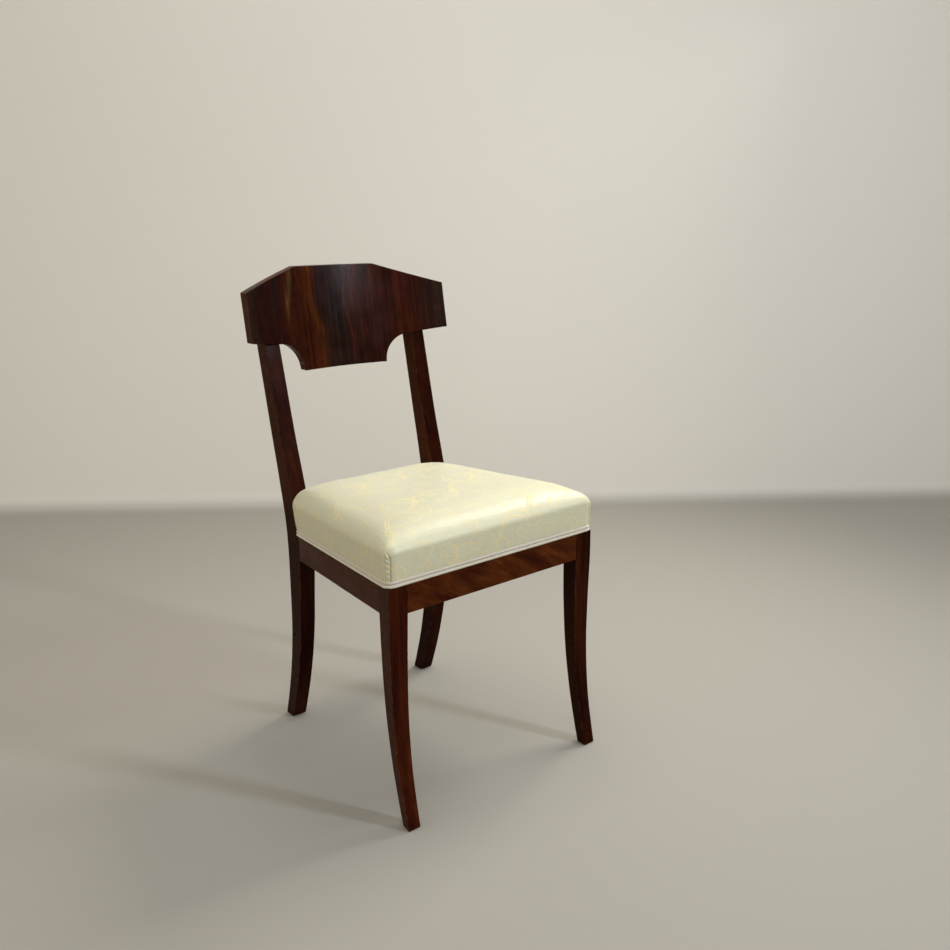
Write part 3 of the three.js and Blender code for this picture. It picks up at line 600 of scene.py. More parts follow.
damask = {
    "repeatX": 0.186,
    "repeatY": 0.152,
    "shift": (0.056, 0.052, 0),
    "lineWidth": 0.0011,
    "scrolls": [
        # x and y in mm, heading in degrees, side, size, arcs
        (52, 4, 82, -1, 1.0, curlArcs),
        (49, 4, 86, -1, 1.12, outlineArcs),
        (51, 10, 105, 1, 0.78, curlArcs),
        (51, 6, -100, -1, 0.8, hookArcs),
        (122, 58, 20, 1, 0.72, curlArcs),
        (119, 54, 10, 1, 0.9, sprigArcs),
        (96, 64, 150, -1, 0.62, hookArcs),
        (112, 40, -60, 1, 0.9, hookArcs),
        (20, 88, 40, -1, 0.8, hookArcs),
        (150, 20, 30, -1, 0.7, hookArcs),
        (92, 96, 10, 1, 0.85, loopArcs),
        (160, 66, 100, 1, 0.7, loopArcs),
        (28, 36, 195, -1, 0.8, hookArcs),
        (74, 122, 60, 1, 0.72, curlArcs),
        (138, 112, -30, -1, 0.85, hookArcs),
        (4, 22, 150, 1, 0.55, curlArcs),
        (12, 128, 75, 1, 0.62, loopArcs),
    ],
    "ground": (0.705, 0.685, 0.495, 1),
    "slub": (0.63, 0.605, 0.42, 1),
    "gold": (0.85, 0.72, 0.4, 1),
    "roughness": 0.44,
    "goldRoughness": 0.9,
    "sheen": 0.12,
    "sheenRoughness": 0.4,
    "specular": 0.6,
    "specularTint": (1, 0.97, 0.86, 1),
}


def arcChain(x, y, heading, side, size, arcs):
    # The inputs of each arc's group, in metres and in turns
    x, y, heading = x / 1000, y / 1000, math.radians(heading)
    made = []
    for radius, degrees in arcs:
        radius, turn = radius / 1000 * size, math.radians(degrees) * side
        centreX = x - side * radius * math.sin(heading)
        centreY = y + side * radius * math.cos(heading)
        first = math.atan2(y - centreY, x - centreX)
        start = min(first, first + turn) / (2 * math.pi)
        made.append({
            "Centre X": centreX, "Centre Y": centreY, "Radius": radius, "Start": start % 1,
            "Sweep": abs(turn) / (2 * math.pi),
        })
        x = centreX + radius * math.cos(first + turn)
        y = centreY + radius * math.sin(first + turn)
        heading += turn
    return made


def buildScrollArc():
    # Distance to one arc, repeated over the cloth with every other column half a repeat lower
    group, enter, leave = newGroup("scrollArc", {
        "Centre X": 0.0, "Centre Y": 0.0, "Radius": 0.02, "Start": 0.0, "Sweep": 0.5,
        "Repeat X": damask["repeatX"], "Repeat Y": damask["repeatY"],
    }, "Distance")
    x, y, _ = separate(enter["Place"])
    x = x - enter["Centre X"]
    column = calc("ROUND", x / enter["Repeat X"])
    x = x - column * enter["Repeat X"]
    y = y - enter["Centre Y"] + column * 0.5 * enter["Repeat Y"]
    y = y - calc("ROUND", y / enter["Repeat Y"]) * enter["Repeat Y"]
    length = output(group, "ShaderNodeVectorMath", {0: combine(x, y)}, "Value", operation="LENGTH")
    turn = calc("FRACT", calc("ARCTAN2", y, x) / (2 * math.pi) - enter["Start"])
    outside = calc("GREATER_THAN", turn, enter["Sweep"])
    wire({"Distance": calc("ABSOLUTE", length - enter["Radius"]) + outside}, leave)
    return group


def buildScrolls(arcGroup):
    group, enter, leave = newGroup("damaskScrolls", {"Line Width": damask["lineWidth"]}, "Line")
    nearest = None
    for scroll in damask["scrolls"]:
        for arc in arcChain(*scroll):
            distance = useGroup(arcGroup, {"Place": enter["Place"], **arc})["Distance"]
            nearest = calc("MINIMUM", nearest, distance) if nearest else distance
    wire({"Line": remap(nearest - enter["Line Width"], 0.0003, -0.0002)}, leave)
    return group


def buildWeave():
    # Threads that cross: wefts along X with thicker slubs here and there, warps along Y
    group, enter, leave = newGroup("threadWeave", {
        "Threads": 1800.0, "Slub Length": 45.0, "Thread Length": 160.0,
    }, "Slubs", "Height")
    x, y, _ = separate(enter["Place"])
    threads, length = enter["Threads"], enter["Thread Length"]
    slubs = noiseOf(combine(x * enter["Slub Length"], y * (threads * 0.35)), 1, 2, 0.55)
    wefts = noiseOf(combine(x * length, y * threads), 1, 1)
    warps = noiseOf(combine(x * threads, y * length), 1, 1)
    wire({"Slubs": slubs, "Height": wefts * 0.6 + slubs * 0.6 + warps * 0.35}, leave)
    return group


weaveGroup = buildWeave()
scrollGroup = buildScrolls(buildScrollArc())


def damaskCloth(name):
    material, place = newMaterial(name, "cloth")
    line = useGroup(scrollGroup, {"Place": mapped(place, shift=damask["shift"])})["Line"]
    weave = useGroup(weaveGroup, {"Place": place})
    thick = remap(weave["Slubs"], 0.42, 0.72, 0, 0.75)
    soil = remap(noiseOf(place, 9, 3, 0.6), 0.45, 0.8, 0, 0.3)
    strength = remap(noiseOf(place, 30), 0.3, 0.6, 0.55, 0.95)
    colour = mixColour(thick, damask["ground"], damask["slub"])
    colour = mixColour(soil, colour, damask["slub"])
    colour = mixColour(line * strength, colour, damask["gold"])
    rough = weave["Slubs"] * 0.1 + (damask["roughness"] - 0.05)
    rough = rough + line * (damask["goldRoughness"] - damask["roughness"])
    return finish(material, colour, rough, (line * 1.4 + weave["Height"], 0.22, 0.00035), {
        "Sheen Weight": damask["sheen"], "Sheen Roughness": damask["sheenRoughness"],
        "Specular IOR Level": damask["specular"], "Specular Tint": damask["specularTint"],
    })


coverMaterial = damaskCloth("creamDamask")


# Welt cord: pale ridges, and valleys of the twist painted grey as shade

def cordMaterial(name, ridgeColour, valleyShade, roughness=0.55):
    material, place = newMaterial(name)
    fuzz = noiseOf(place, 1400)
    share = remap(attributeOf(material, "ridge"), -0.8, 0.7) + (fuzz - 0.5) * 0.5
    soil = remap(noiseOf(place, 24, 3), 0.5, 0.75, 0, 0.3)
    colour = mixColour(soil, mixColour(share, valleyShade, ridgeColour), valleyShade)
    return finish(material, colour, roughness, (fuzz, 0.35, 0.0003))


weltMaterials = {
    # The lower cord's pale cream is partly its own colour, partly a painted highlight
    "lowerCord": cordMaterial("weltCream", (0.95, 0.92, 0.78, 1), (0.62, 0.56, 0.42, 1), 0.42),
    "upperCord": cordMaterial("weltRose", (0.88, 0.83, 0.74, 1), (0.5, 0.43, 0.36, 1), 0.5),
    "thread": cordMaterial("weltThread", (0.7, 0.64, 0.52, 1), (0.42, 0.35, 0.27, 1)),
}


# Hidden cloths, straps and stuffing

clothRoughness = 0.85


def plainWeave(name, colour, other, threads, strength, distance):
    # Over and under threads of a plain weave, so many to a metre
    material, place = newMaterial(name)
    x, y, _ = separate(place)
    height = calc("SINE", x * (threads * 2 * math.pi)) * calc("SINE", y * (threads * 2 * math.pi))
    uneven = noiseOf(place, (60, 900, 60))
    colour = mixColour(height * 0.3 + uneven, colour, other)
    return finish(material, colour, clothRoughness, (height + uneven, strength, distance))


def webbingWeave(name):
    # Jute herringbone with a dark thread near each edge
    material, place = newMaterial(name)
    across, along = attributeOf(material, "across"), attributeOf(material, "along")
    weave = calc("SINE", calc("PINGPONG", across * 150, 1) * 3.2 + along * 2600)
    fibres = noiseOf(place, 700)
    colour = mixColour(weave * 0.22 + fibres, (0.19, 0.12, 0.055, 1), (0.42, 0.3, 0.16, 1))
    fromThread = calc("ABSOLUTE", calc("ABSOLUTE", across) - 0.0205)
    colour = mixColour(remap(fromThread, 0.0012, 0.0006), colour, (0.12, 0.03, 0.02, 1))
    return finish(material, colour, clothRoughness, (weave + fibres, 0.5, 0.0004))


def hairPad(name):
    # Curled horsehair and its cotton topping
    material, place = newMaterial(name)
    hairs, tufts = noiseOf(place, 420, 4, 0.7, 2.5), noiseOf(place, 60, 3)
    colour = mixColour(tufts * 0.5 + hairs * 0.6, (0.42, 0.38, 0.3, 1), (0.72, 0.69, 0.6, 1))
    return finish(material, colour, 0.95, (hairs + tufts, 0.8, 0.002))


stuffingMaterial = hairPad("hairAndCotton")
webbingMaterial = webbingWeave("juteWebbing")
clothMaterials = {
    "base_cloth": plainWeave(
        "hessianCloth", (0.22, 0.14, 0.07, 1), (0.45, 0.33, 0.19, 1), 520, 0.7, 0.0005),
    "dust_cloth": plainWeave(
        "blackCambric", (0.012, 0.011, 0.011, 1), (0.03, 0.028, 0.027, 1), 900, 0.5, 0.0003),
}


# Fittings: turned and blued steel, and the beech of the corner blocks

def steelFinish(name, colour, roughness):
    material, place = newMaterial(name)
    tarnish, brushed = noiseOf(place, 340, 4, 0.65), noiseOf(place, (2600, 2600, 180))
    dark = [part * share for part, share in zip(colour, (0.4, 0.36, 0.33, 1))]
    colour = mixColour(remap(tarnish, 0.4, 0.75), colour, dark)
    rough = tarnish * 0.3 + (roughness - 0.12)
    return finish(material, colour, rough, (brushed + tarnish, 0.2, 0.0002), {"Metallic": 1})


def beechFinish(name):
    material, place = newMaterial(name)
    grain = useGroup(grainGroup, {"Place": mapped(place, alongX, (0.4, 1.1, 0.8))})
    colour = colourRamp(grain["Tone"], [
        (0.3, (0.2, 0.1, 0.045, 1)), (0.5, (0.36, 0.2, 0.1, 1)), (0.7, (0.47, 0.29, 0.15, 1)),
    ])
    soil = remap(noiseOf(place, 40, 4), 0.4, 0.75, 0, 0.6)
    colour = mixColour(soil, colour, (0.09, 0.05, 0.028, 1))
    return finish(material, colour, 0.7, (grain["Height"], 0.5, 0.0006))


tackMaterial = steelFinish("bluedTacks", (0.1, 0.105, 0.13, 1), 0.4)
screwMaterial = steelFinish("screwSteel", (0.42, 0.4, 0.37, 1), 0.42)
beechMaterial = beechFinish("beechBlocks")


# Wooden pieces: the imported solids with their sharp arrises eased

easing = {
    "radius": 0.0007,
    "veneerRadius": 0.00035,
    "plugRadius": 0.0005,
    "segments": 2,
    "profile": 0.5,
    "sharpAngle": math.radians(24),
    "flatAngle": math.radians(0.3),
    "shortest": 0.004,
    "mergeDistance": 0.00002,
    "smoothDegrees": 40,
    "sideCut": (0.6, 0.35),  # how far sideways a face looks to take the painted side tone, and the fade
    "trimmed": {  # how far a face looks sideways to count, and what it is: 1 a bare edge, -1 a joint painted dark as shade
        "crest_veneer": (0.9, 1),
        "front_rail_veneer": (0.3, -1),
    },
}


def pieceName(node):
    first, *rest = node.split("_")
    return first + "".join(word.capitalize() for word in rest)


def mergedMesh(node):
    work = opened(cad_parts[node].data)
    bmesh.ops.remove_doubles(work, verts=work.verts, dist=easing["mergeDistance"])
    return work


def claim(piece, slotName, *nodes):
    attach(piece, "root")
    if nodes:
        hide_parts(*nodes)
    return piece


def newPiece(node, work, material, slotName):
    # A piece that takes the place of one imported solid
    piece = newObject(pieceName(node), written(work, bpy.data.meshes.new(pieceName(node))))
    piece.data.materials.append(material)
    smooth(piece.data, easing["smoothDegrees"])
    return claim(piece, slotName, node)


def easedWood(node, material, slotName, radius):
    work = mergedMesh(node)
    bmesh.ops.dissolve_limit(
        work, angle_limit=easing["flatAngle"], verts=work.verts, edges=work.edges, delimit={"NORMAL"})
    wear = work.faces.layers.float.new("edgeWear")
    sharp = [
        edge for edge in work.edges
        if edge.is_manifold and edge.is_convex and edge.calc_length() > easing["shortest"]
        and edge.calc_face_angle() > easing["sharpAngle"]
    ]
    made = bmesh.ops.bevel(
        work, geom=sharp, offset=radius, offset_type="OFFSET", segments=easing["segments"],
        profile=easing["profile"], affect="EDGES", clamp_overlap=False, miter_outer="ARC")
    for face in made["faces"]:
        face[wear] = 1
    trim = work.faces.layers.float.new("trim")
    sideCut = work.faces.layers.float.new("sideCut")
    shows, fade = easing["sideCut"]
    for face in work.faces:
        sideways = abs(face.normal.x)
        face[sideCut] = min(1, max(0, (sideways - shows) / fade))
        if node in easing["trimmed"]:
            facing, kind = easing["trimmed"][node]
            face[trim] = kind if sideways > facing else 0
    piece = newPiece(node, work, material, slotName)
    piece.modifiers.new("evenShading", "WEIGHTED_NORMAL").keep_sharp = True
    return piece


woodwork = {
    node: (material, "flame_veneer", "veneerRadius") if "veneer" in node else (material, "mahogany", "radius")
    for node, material in woodFinishes.items()
}
for node in sorted(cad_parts):
    if node.startswith("crest_plug"):
        woodwork[node] = (plugMaterial, "mahogany", "plugRadius")
    if node.startswith("corner_block"):
        woodwork[node] = (beechMaterial, "block_wood", "radius")
    if "_screw_" in node:
        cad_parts[node].material_slots[0].material = screwMaterial
for node, (material, slotName, radius) in woodwork.items():
    easedWood(node, material, slotName, easing[radius])
print("wooden pieces: eased", len(woodwork))


# Seat: plan and section of the stuffed form. Depth runs back from the face of the front rail.

seat = {
    "halfWidth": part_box("front_leg_right")[1].x,
    "front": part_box("front_rail_veneer")[0].y,
    "taper": 0.0454,
    "depth": 0.355,
    "back": 0.3968,
    "fall": 0.013,
    "weltLine": 0.412,
    "skirt": 0.0014,
    "edgeHeight": 0.0725,
    "shoulderHeight": 0.020,
    "shoulderReach": 0.029,
    "bulge": 0.0052,
    "swell": 4,  # how soon the side comes out above the welt
    "crown": 0.020,
    "fullness": 4.6,
    "rearRise": 0.002,
    "cornerRadius": 0.014,
    "rebate": 0.006,
    "roundingShare": 0.12,
    "roundingCells": 4,  # in which the corners' rounding sets in
    "border": 0.07,  # cloth that hangs down each side, for the size it was cut to
    "coverThickness": 0.0013,
    "coverDegrees": 50,
    "stileGap": 0.0004,
    "shoulderShare": 0.48,  # of the side cells
}
sideSlope = seat["taper"] / seat["depth"]
sideLength = math.hypot(1, sideSlope)
seatSlope = seat["fall"] / seat["depth"]
sideRise = seat["edgeHeight"] - seat["shoulderHeight"]
seatParts = {"cloth": 0, "stile": 1, "underside": 2}  # material slots, only there for the cuts


def sideX(depth, inset):
    return seat["halfWidth"] - sideSlope * depth - inset * sideLength


def inFrame(x, depth, height):
    return Vector((x, seat["front"] + depth, height - seatSlope * depth))


def fromWelt(places):
    # Depth behind the front rail's face, and height above the welt line
    depth = places[:, 1] - seat["front"]
    return depth, places[:, 2] + seatSlope * depth - seat["weltLine"]


def sectionAt(travel):
    # Inset and rise of the side, from 0 at the inner end of the shoulder to 1 at the welt
    share = seat["shoulderShare"]
    if travel <= share:
        turn = math.pi / 2 * (1 - travel / share)
        inset = -seat["bulge"] + (seat["shoulderReach"] + seat["bulge"]) * (1 - math.cos(turn))
        return inset, sideRise + seat["shoulderHeight"] * math.sin(turn)
    rise = 1 - (travel - share) / (1 - share)
    swell = 1 - (1 - rise) ** seat["swell"]
    return seat["skirt"] - (seat["bulge"] + seat["skirt"]) * swell, sideRise * rise


def cornerRadiusAt(inset):
    past = max(0, inset - seat["rebate"])
    return seat["cornerRadius"] - min(inset, seat["rebate"]) + past * seat["roundingShare"]


def crownAt(x, depth):
    middle, power = seat["back"] / 2, seat["fullness"]
    across = abs(x / sideX(depth, -seat["bulge"]))
    along = abs((depth - middle) / (middle + seat["bulge"]))
    return seat["crown"] * max(0, 1 - across ** power) * max(0, 1 - along ** power)


def roundCorner(x, depth, inset, radius):
    # A point of the sharp outline, drawn in to the arc of its corner
    side = 1 if x > 0 else -1
    end = 1 if depth < seat["back"] / 2 else -1
    cornerDepth = inset if end > 0 else seat["back"] - inset
    corner = Vector((side * sideX(cornerDepth, inset), cornerDepth))
    arms = [Vector((-side * sideSlope, 1)).normalized() * end, Vector((-side, 0))]
    halfOpening = arms[0].angle(arms[1]) / 2
    tangent = radius / math.tan(halfOpening)
    away = Vector((x, depth)) - corner
    if away.length >= tangent:
        return x, depth
    bisector = (arms[0] + arms[1]).normalized()
    centre = corner + bisector * (radius / math.sin(halfOpening))
    touch = corner + max(arms, key=away.dot) * tangent - centre
    middleTurn = math.atan2(-bisector.y, -bisector.x)
    spread = (math.atan2(touch.y, touch.x) - middleTurn + math.pi) % (2 * math.pi) - math.pi
    turn = middleTurn + spread * away.length / tangent
    return centre.x + radius * math.cos(turn), centre.y + radius * math.sin(turn)


clothCells = {
    # from the middle of the top to the shoulder, from there to the welt, and a corner column's width
    "fine": (50, 32, 0.0009),
    "coarse": (21, 12, 0.0035),
}


def seatGrid(topCells, sideCells, cornerCell):
    # Places and two cloth maps of a square grid that covers the top and hangs down the sides
    last = topCells + sideCells
    middle = seat["back"] / 2
    sections = [sectionAt(step / sideCells) for step in range(sideCells + 1)]
    hung = [0.0]
    for (inset, rise), (nextInset, nextRise) in zip(sections, sections[1:]):
        hung.append(hung[-1] + math.hypot(nextInset - inset, nextRise - rise))
    places, endMap, sideMap = [], [], []
    for row in range(-last, last + 1):
        for column in range(-last, last + 1):
            level = max(abs(row), abs(column))
            over = max(0, level - topCells)
            inset, rise = sections[over]

            def share(number, length):
                # Share of the way to a corner, the last columns gathered beside it
                gathered = over * cornerCell / length
                if abs(number) <= topCells:
                    return number / topCells * (1 - gathered)
                return math.copysign(1 - gathered * (level - abs(number)) / over, number)

            depth = middle + share(row, middle) * (middle - inset)
            x = share(column, seat["halfWidth"]) * sideX(depth, inset)
            if over:
                rounding = min(1, over / seat["roundingCells"])
                x, depth = roundCorner(x, depth, inset, cornerRadiusAt(inset) * rounding)
            crown = crownAt(x, depth) if rise >= sideRise else 0
            rear = seat["rearRise"] * depth / seat["depth"] * rise / seat["edgeHeight"]
            places.append(inFrame(x, depth, seat["weltLine"] + rise + crown + rear))
            flat = seat["shoulderReach"] - hung[over]
            end = flat if row < 0 else seat["back"] - flat
            side = math.copysign(sideX(depth, flat), column)
            endMap.append((x, end if over else depth))
            sideMap.append((side if over else x, depth))
    return places, endMap, sideMap


def seatForm(name, cells):
    # Closed mesh: the grid, and one face across the open underside with a material of its own
    places, endMap, sideMap = seatGrid(*cells)
    last = 2 * (cells[0] + cells[1])
    count = last + 1
    work = bmesh.new()
    cloth = work.loops.layers.uv.new("cloth")
    verts = [work.verts.new(place) for place in places]
    for row in range(last):
        for column in range(last):
            low = row * count + column
            ids = (low, low + 1, low + count + 1, low + count)
            face = work.faces.new([verts[number] for number in ids])
            onEnd = abs(2 * row + 1 - last) >= abs(2 * column + 1 - last)
            for loop, number in zip(face.loops, ids):
                loop[cloth].uv = (endMap if onEnd else sideMap)[number]
    corners = ((0, 1), (last, count), (count * count - 1, -1), (last * count, -count))
    rim = [verts[start + step * n] for start, step in corners for n in range(last)]
    work.faces.new(rim[::-1]).material_index = seatParts["underside"]
    return written(work, bpy.data.meshes.new(name))


filling = {
    "frames": 20,
    "cloth": {
        "quality": 6, "mass": 0.3, "tension_stiffness": 18, "compression_stiffness": 18,
        "shear_stiffness": 9, "bending_stiffness": 1.2, "use_pressure": True,
        "uniform_pressure_force": 4.0,
    },
    "shrink": 0.002,
    "easeHeight": 0.02,  # over which the shrinking sets in
    "heldHeight": 0.002,
    "cap": 0.006,
    "smoothing": 24,
    "neighbours": 9,
}


def vertexValues(mesh, name="co"):
    flat = np.zeros(len(mesh.vertices) * 3, np.float32)
    mesh.vertices.foreach_get(name, flat)
    return flat.reshape(-1, 3).astype(float)


def setPlaces(mesh, places):
    mesh.vertices.foreach_set("co", places.astype(np.float32).ravel())
    mesh.update()


def push(mesh, amount):
    # Moves the vertices out along their normals
    setPlaces(mesh, vertexValues(mesh) + vertexValues(mesh, "normal") * np.reshape(amount, (-1, 1)))


def unit(value):
    return np.clip(value, 0, 1)


def eased(value):
    return value * value * (3 - 2 * value)


def simulatedSwell(mesh, height, values):
    # How far the cloth goes when the stuffing presses it from a slightly smaller shape
    rest = vertexValues(mesh)
    push(mesh, -values["shrink"] * unit(height / values["easeHeight"]))
    start = vertexValues(mesh)
    body = newObject("filling", mesh)
    held = body.vertex_groups.new(name="heldAtWelt")
    held.add([int(n) for n in np.nonzero(height < values["heldHeight"])[0]], 1, "REPLACE")
    cloth = body.modifiers.new("stuffing", "CLOTH")
    for name, value in values["cloth"].items():
        setattr(cloth.settings, name, value)
    cloth.settings.vertex_group_mass = held.name
    cloth.settings.effector_weights.gravity = 0
    cloth.collision_settings.use_collision = False
    cloth.point_cache.frame_start, cloth.point_cache.frame_end = 1, values["frames"]
    scene = bpy.context.scene
    for step in range(1, values["frames"] + 1):
        scene.frame_set(step)
    evaluated = body.evaluated_get(bpy.context.evaluated_depsgraph_get())
    moved = vertexValues(evaluated.data) - start
    bpy.data.objects.remove(body)
    scene.frame_set(1)
    setPlaces(mesh, rest)
    return moved, start - rest


def smoothedSwell(mesh, swell, free, rounds):
    # Each vertex drawn towards the mean of those around it
    pairs = np.array([edge.vertices[:] for edge in mesh.edges])
    degree = np.bincount(pairs.ravel(), minlength=len(swell))
    for _ in range(rounds):
        around = np.bincount(pairs[:, 0], swell[pairs[:, 1]], len(swell))
        around += np.bincount(pairs[:, 1], swell[pairs[:, 0]], len(swell))
        swell = np.where(free, (swell + around / degree) / 2, 0)
    return swell


def carry(places, moved, mesh, neighbours):
    # Moves a fine mesh as the places near by have moved
    tree = KDTree(len(places))
    for number, place in enumerate(places):
        tree.insert(place, number)
    tree.balance()
    fine = vertexValues(mesh)
    carried = np.zeros_like(fine)
    for number, place in enumerate(fine):
        found = tree.find_n(place, neighbours)
        weights = [1 / (distance ** 2 + 1e-6) for _, _, distance in found]
        for weight, (_, other, _) in zip(weights, found):
            carried[number] += moved[other] * weight / sum(weights)
    setPlaces(mesh, fine + carried)


def fillOut(mesh, values):
    # The cloth is simulated on a coarser grid, and its swell is carried over to the fine one
    coarse = seatForm("filling", clothCells["coarse"])
    rest = vertexValues(coarse)
    height = fromWelt(rest)[1]
    moved, shrunk = simulatedSwell(coarse, height, values)
    normals = vertexValues(coarse, "normal")
    swell = np.clip((moved * normals).sum(axis=1), 0, values["cap"])  # it can't sink into the stuffing
    swell = smoothedSwell(coarse, swell, height > values["heldHeight"], values["smoothing"])
    print("filling: mean swell %.1f mm, most %.1f mm" % (swell.mean() * 1000, swell.max() * 1000))
    carry(rest, normals * swell[:, None] + shrunk, mesh, values["neighbours"])


tuck = {
    "offset": 0.0078,  # the fold's edge, along the front from the corner
    "curl": 0.8,  # share of the offset that it bends back at its top
    "height": 0.058,
    "fade": 0.012,
    "lift": 0.0023,
    "liftWidth": 0.0115,
    "liftFall": 0.0045,
    "lip": 0.0008,
    "lipPower": 0.6,
    "groove": 0.0022,
    "grooveWidth": 0.0013,
    "groovePlace": 0.6,  # in widths before the fold
    "grooveEnd": 0.0005,
    "bulgeShare": 0.5,  # of the bulge, where the corner is taken to be
    "drift": 0.4,  # of the depth, where the front turns into the side
    "zone": 0.018,
    "zoneDepth": 0.02,
    "frontDepth": 0.03,
    "lowest": 0.001,
    "cuts": 2,
    "pucker": 0.0008,
    "puckerStart": 0.001,
    "puckerSpacing": 0.0085,
    "puckerSlant": 0.6,
    "puckerReach": 0.013,
}


def cornerMap(places):
    # Distance along the outline from each front corner, more than 0 on the front, depth and height
    depth, height = fromWelt(places)
    inward = sideX(0, 0) + seat["bulge"] * tuck["bulgeShare"] - np.abs(places[:, 0])
    along = np.where(inward > depth, inward - np.maximum(depth, 0) * tuck["drift"], -depth)
    return along, depth, height


def tuckCorners(mesh, values):
    # The cloth is folded over at each front corner: a lifted edge with a groove beside it
    work = opened(mesh)
    work.verts.ensure_lookup_table()
    along, depth, height = cornerMap(np.array([vertex.co[:] for vertex in work.verts]))
    near = (np.abs(along) < values["zone"]) & (height < values["height"] + values["fade"])
    near &= depth < values["zoneDepth"]
    edges = [edge for edge in work.edges if all(near[v.index] for v in edge.verts)]
    bmesh.ops.subdivide_edges(work, edges=edges, cuts=values["cuts"], use_grid_fill=True)
    written(work, mesh)
    along, depth, height = cornerMap(vertexValues(mesh))
    top = (height - values["height"] + values["fade"]) / values["fade"]
    fold = values["offset"] * (1 - values["curl"] * unit(top) ** 2)
    behind = fold - along
    fall = eased(unit((values["liftWidth"] - behind) / values["liftFall"]))
    rise = unit(behind / values["lip"]) ** values["lipPower"] * fall
    drop = np.exp(-(behind / values["grooveWidth"] + values["groovePlace"]) ** 2)
    drop = np.where(behind > 0, drop * unit(1 - behind / values["grooveEnd"]), drop)
    slanted = (height - values["puckerSlant"] * behind) / values["puckerSpacing"]
    within = unit(behind / values["puckerStart"]) * unit(1 - behind / values["puckerReach"])
    pucker = values["pucker"] * np.cos(2 * np.pi * slanted) * within
    amount = values["lift"] * rise - values["groove"] * drop + pucker
    onFront = (depth < values["frontDepth"]) & (height > values["lowest"])
    push(mesh, np.where(onFront, eased(1 - unit(top / 2)) * amount, 0))


pulls = {
    "spacing": 0.021,
    "depth": 0.0005,
    "reach": 0.02,
    "start": 0.003,
    "frontDepth": 0.01,
    "frontInset": 0.004,
    "jitter": 1.6,
    "jitterScale": 23,
    "unevenness": 0.0011,
    "lumps": ((13, (0, 0, 0), 0.7), (31, (3, 1, 7), 0.3)),  # scale, shift, share
    "freeHeight": 0.02,
    "wrinkle": 0.0005,
    "wrinkleScales": (9, 46),
    "wrinkleHeight": 0.06,
    "slices": {"jitter": (4.2, 1.7), "wrinkle": 2.3},  # of the noise, where it needs no third place
}


def noiseAt(x, y, z):
    return np.array([noise.noise(Vector(place)) for place in np.broadcast(x, y, z)])


def handWork(mesh, values):
    # Small pulls above the welt, and the unevenness of stuffing laid by hand
    places = vertexValues(mesh)
    x, y, _ = places.T
    depth, height = fromWelt(places)
    lumps = sum(share * noiseAt(*(places * scale + shift).T) for scale, shift, share in values["lumps"])
    onFront = (np.abs(x) < sideX(0, values["frontInset"])) & (depth < values["frontDepth"])
    travel = np.where(onFront, x, y)
    jitter = values["jitter"] * noiseAt(travel * values["jitterScale"], *values["slices"]["jitter"])
    wave = np.cos(2 * np.pi * travel / values["spacing"] + jitter)
    fade = np.maximum(0, 1 - height / values["reach"]) * unit(height / values["start"])
    scaleX, scaleY = values["wrinkleScales"]
    crease = noiseAt(x * scaleX, y * scaleY, values["slices"]["wrinkle"])
    top = unit((height - values["wrinkleHeight"]) / values["freeHeight"])
    amount = values["unevenness"] * lumps * unit(height / values["freeHeight"])
    push(mesh, amount + values["depth"] * wave * fade + values["wrinkle"] * crease * top)


stileBlocks = {
    # heights between which the stile's front is followed, and from where to where the block goes
    "followed": (0.394, 0.56, 0.004),
    "foot": 0.34,
    "rear": 0.36,
    "far": 0.3,
    "frontRay": (0.16, 0),
    "innerRay": (0, 0.145, 0.45),
}


def stileTree(side):
    work = mergedMesh("rear_leg_" + side)
    bmesh.ops.triangulate(work, faces=work.faces)
    tree = BVHTree.FromBMesh(work)
    work.free()
    return tree


def stileCutter(clearance, values):
    # Blocks that stand for the stiles, and all that lies outside and behind them
    work = bmesh.new()
    cloth = work.loops.layers.uv.new("cloth")
    rear, foot = values["rear"], values["foot"]
    rayX, rayY = values["frontRay"]
    for side, name in ((-1, "left"), (1, "right")):
        tree = stileTree(name)
        outline = []
        for height in np.arange(*values["followed"]):
            hit = tree.ray_cast(Vector((side * rayX, rayY, height)), Vector((0, 1, 0)))[0]
            outline.append((hit.y - clearance, height))
        inner = tree.ray_cast(Vector(values["innerRay"]), Vector((side, 0, 0)))[0]
        outline = [(outline[0][0], foot), *outline, (rear, outline[-1][1]), (rear, foot)]
        sides = (abs(inner.x) - clearance, values["far"])
        rows = [[work.verts.new((side * x, y, z)) for y, z in outline] for x in sides]
        work.faces.new(rows[0])
        work.faces.new(rows[1][::-1])
        for number in range(len(outline)):
            other = (number + 1) % len(outline)
            work.faces.new((rows[0][other], rows[0][number], rows[1][number], rows[1][other]))
    bmesh.ops.recalc_face_normals(work, faces=work.faces)
    for face in work.faces:
        face.material_index = seatParts["stile"]
        across = abs(face.normal.x) > 0.5
        for loop in face.loops:
            place = loop.vert.co
            loop[cloth].uv = (place.y if across else place.x, place.z)
    cutter = newObject("stileCutter", written(work, bpy.data.meshes.new("stileCutter")))
    addSlots(cutter.data)
    return cutter


def addSlots(mesh):
    for _ in seatParts:
        mesh.materials.append(None)


def settled(piece):
    # The piece's mesh with its modifiers applied
    evaluated = piece.evaluated_get(bpy.context.evaluated_depsgraph_get())
    old, piece.data = piece.data, bpy.data.meshes.new_from_object(evaluated)
    piece.modifiers.clear()
    bpy.data.meshes.remove(old)
    piece.data.name = piece.name


def cutAtStiles(piece, clearance):
    cutter = stileCutter(clearance, stileBlocks)
    cut = piece.modifiers.new("stiles", "BOOLEAN")
    cut.operation, cut.solver, cut.object = "DIFFERENCE", "EXACT", cutter
    settled(piece)
    bpy.data.objects.remove(cutter)


def dress(mesh, material, degrees):
    # One material in place of the parts of the seat
    mesh.materials.clear()
    mesh.materials.append(material)
    mesh.polygons.foreach_set("material_index", [0] * len(mesh.polygons))
    smooth(mesh, degrees)


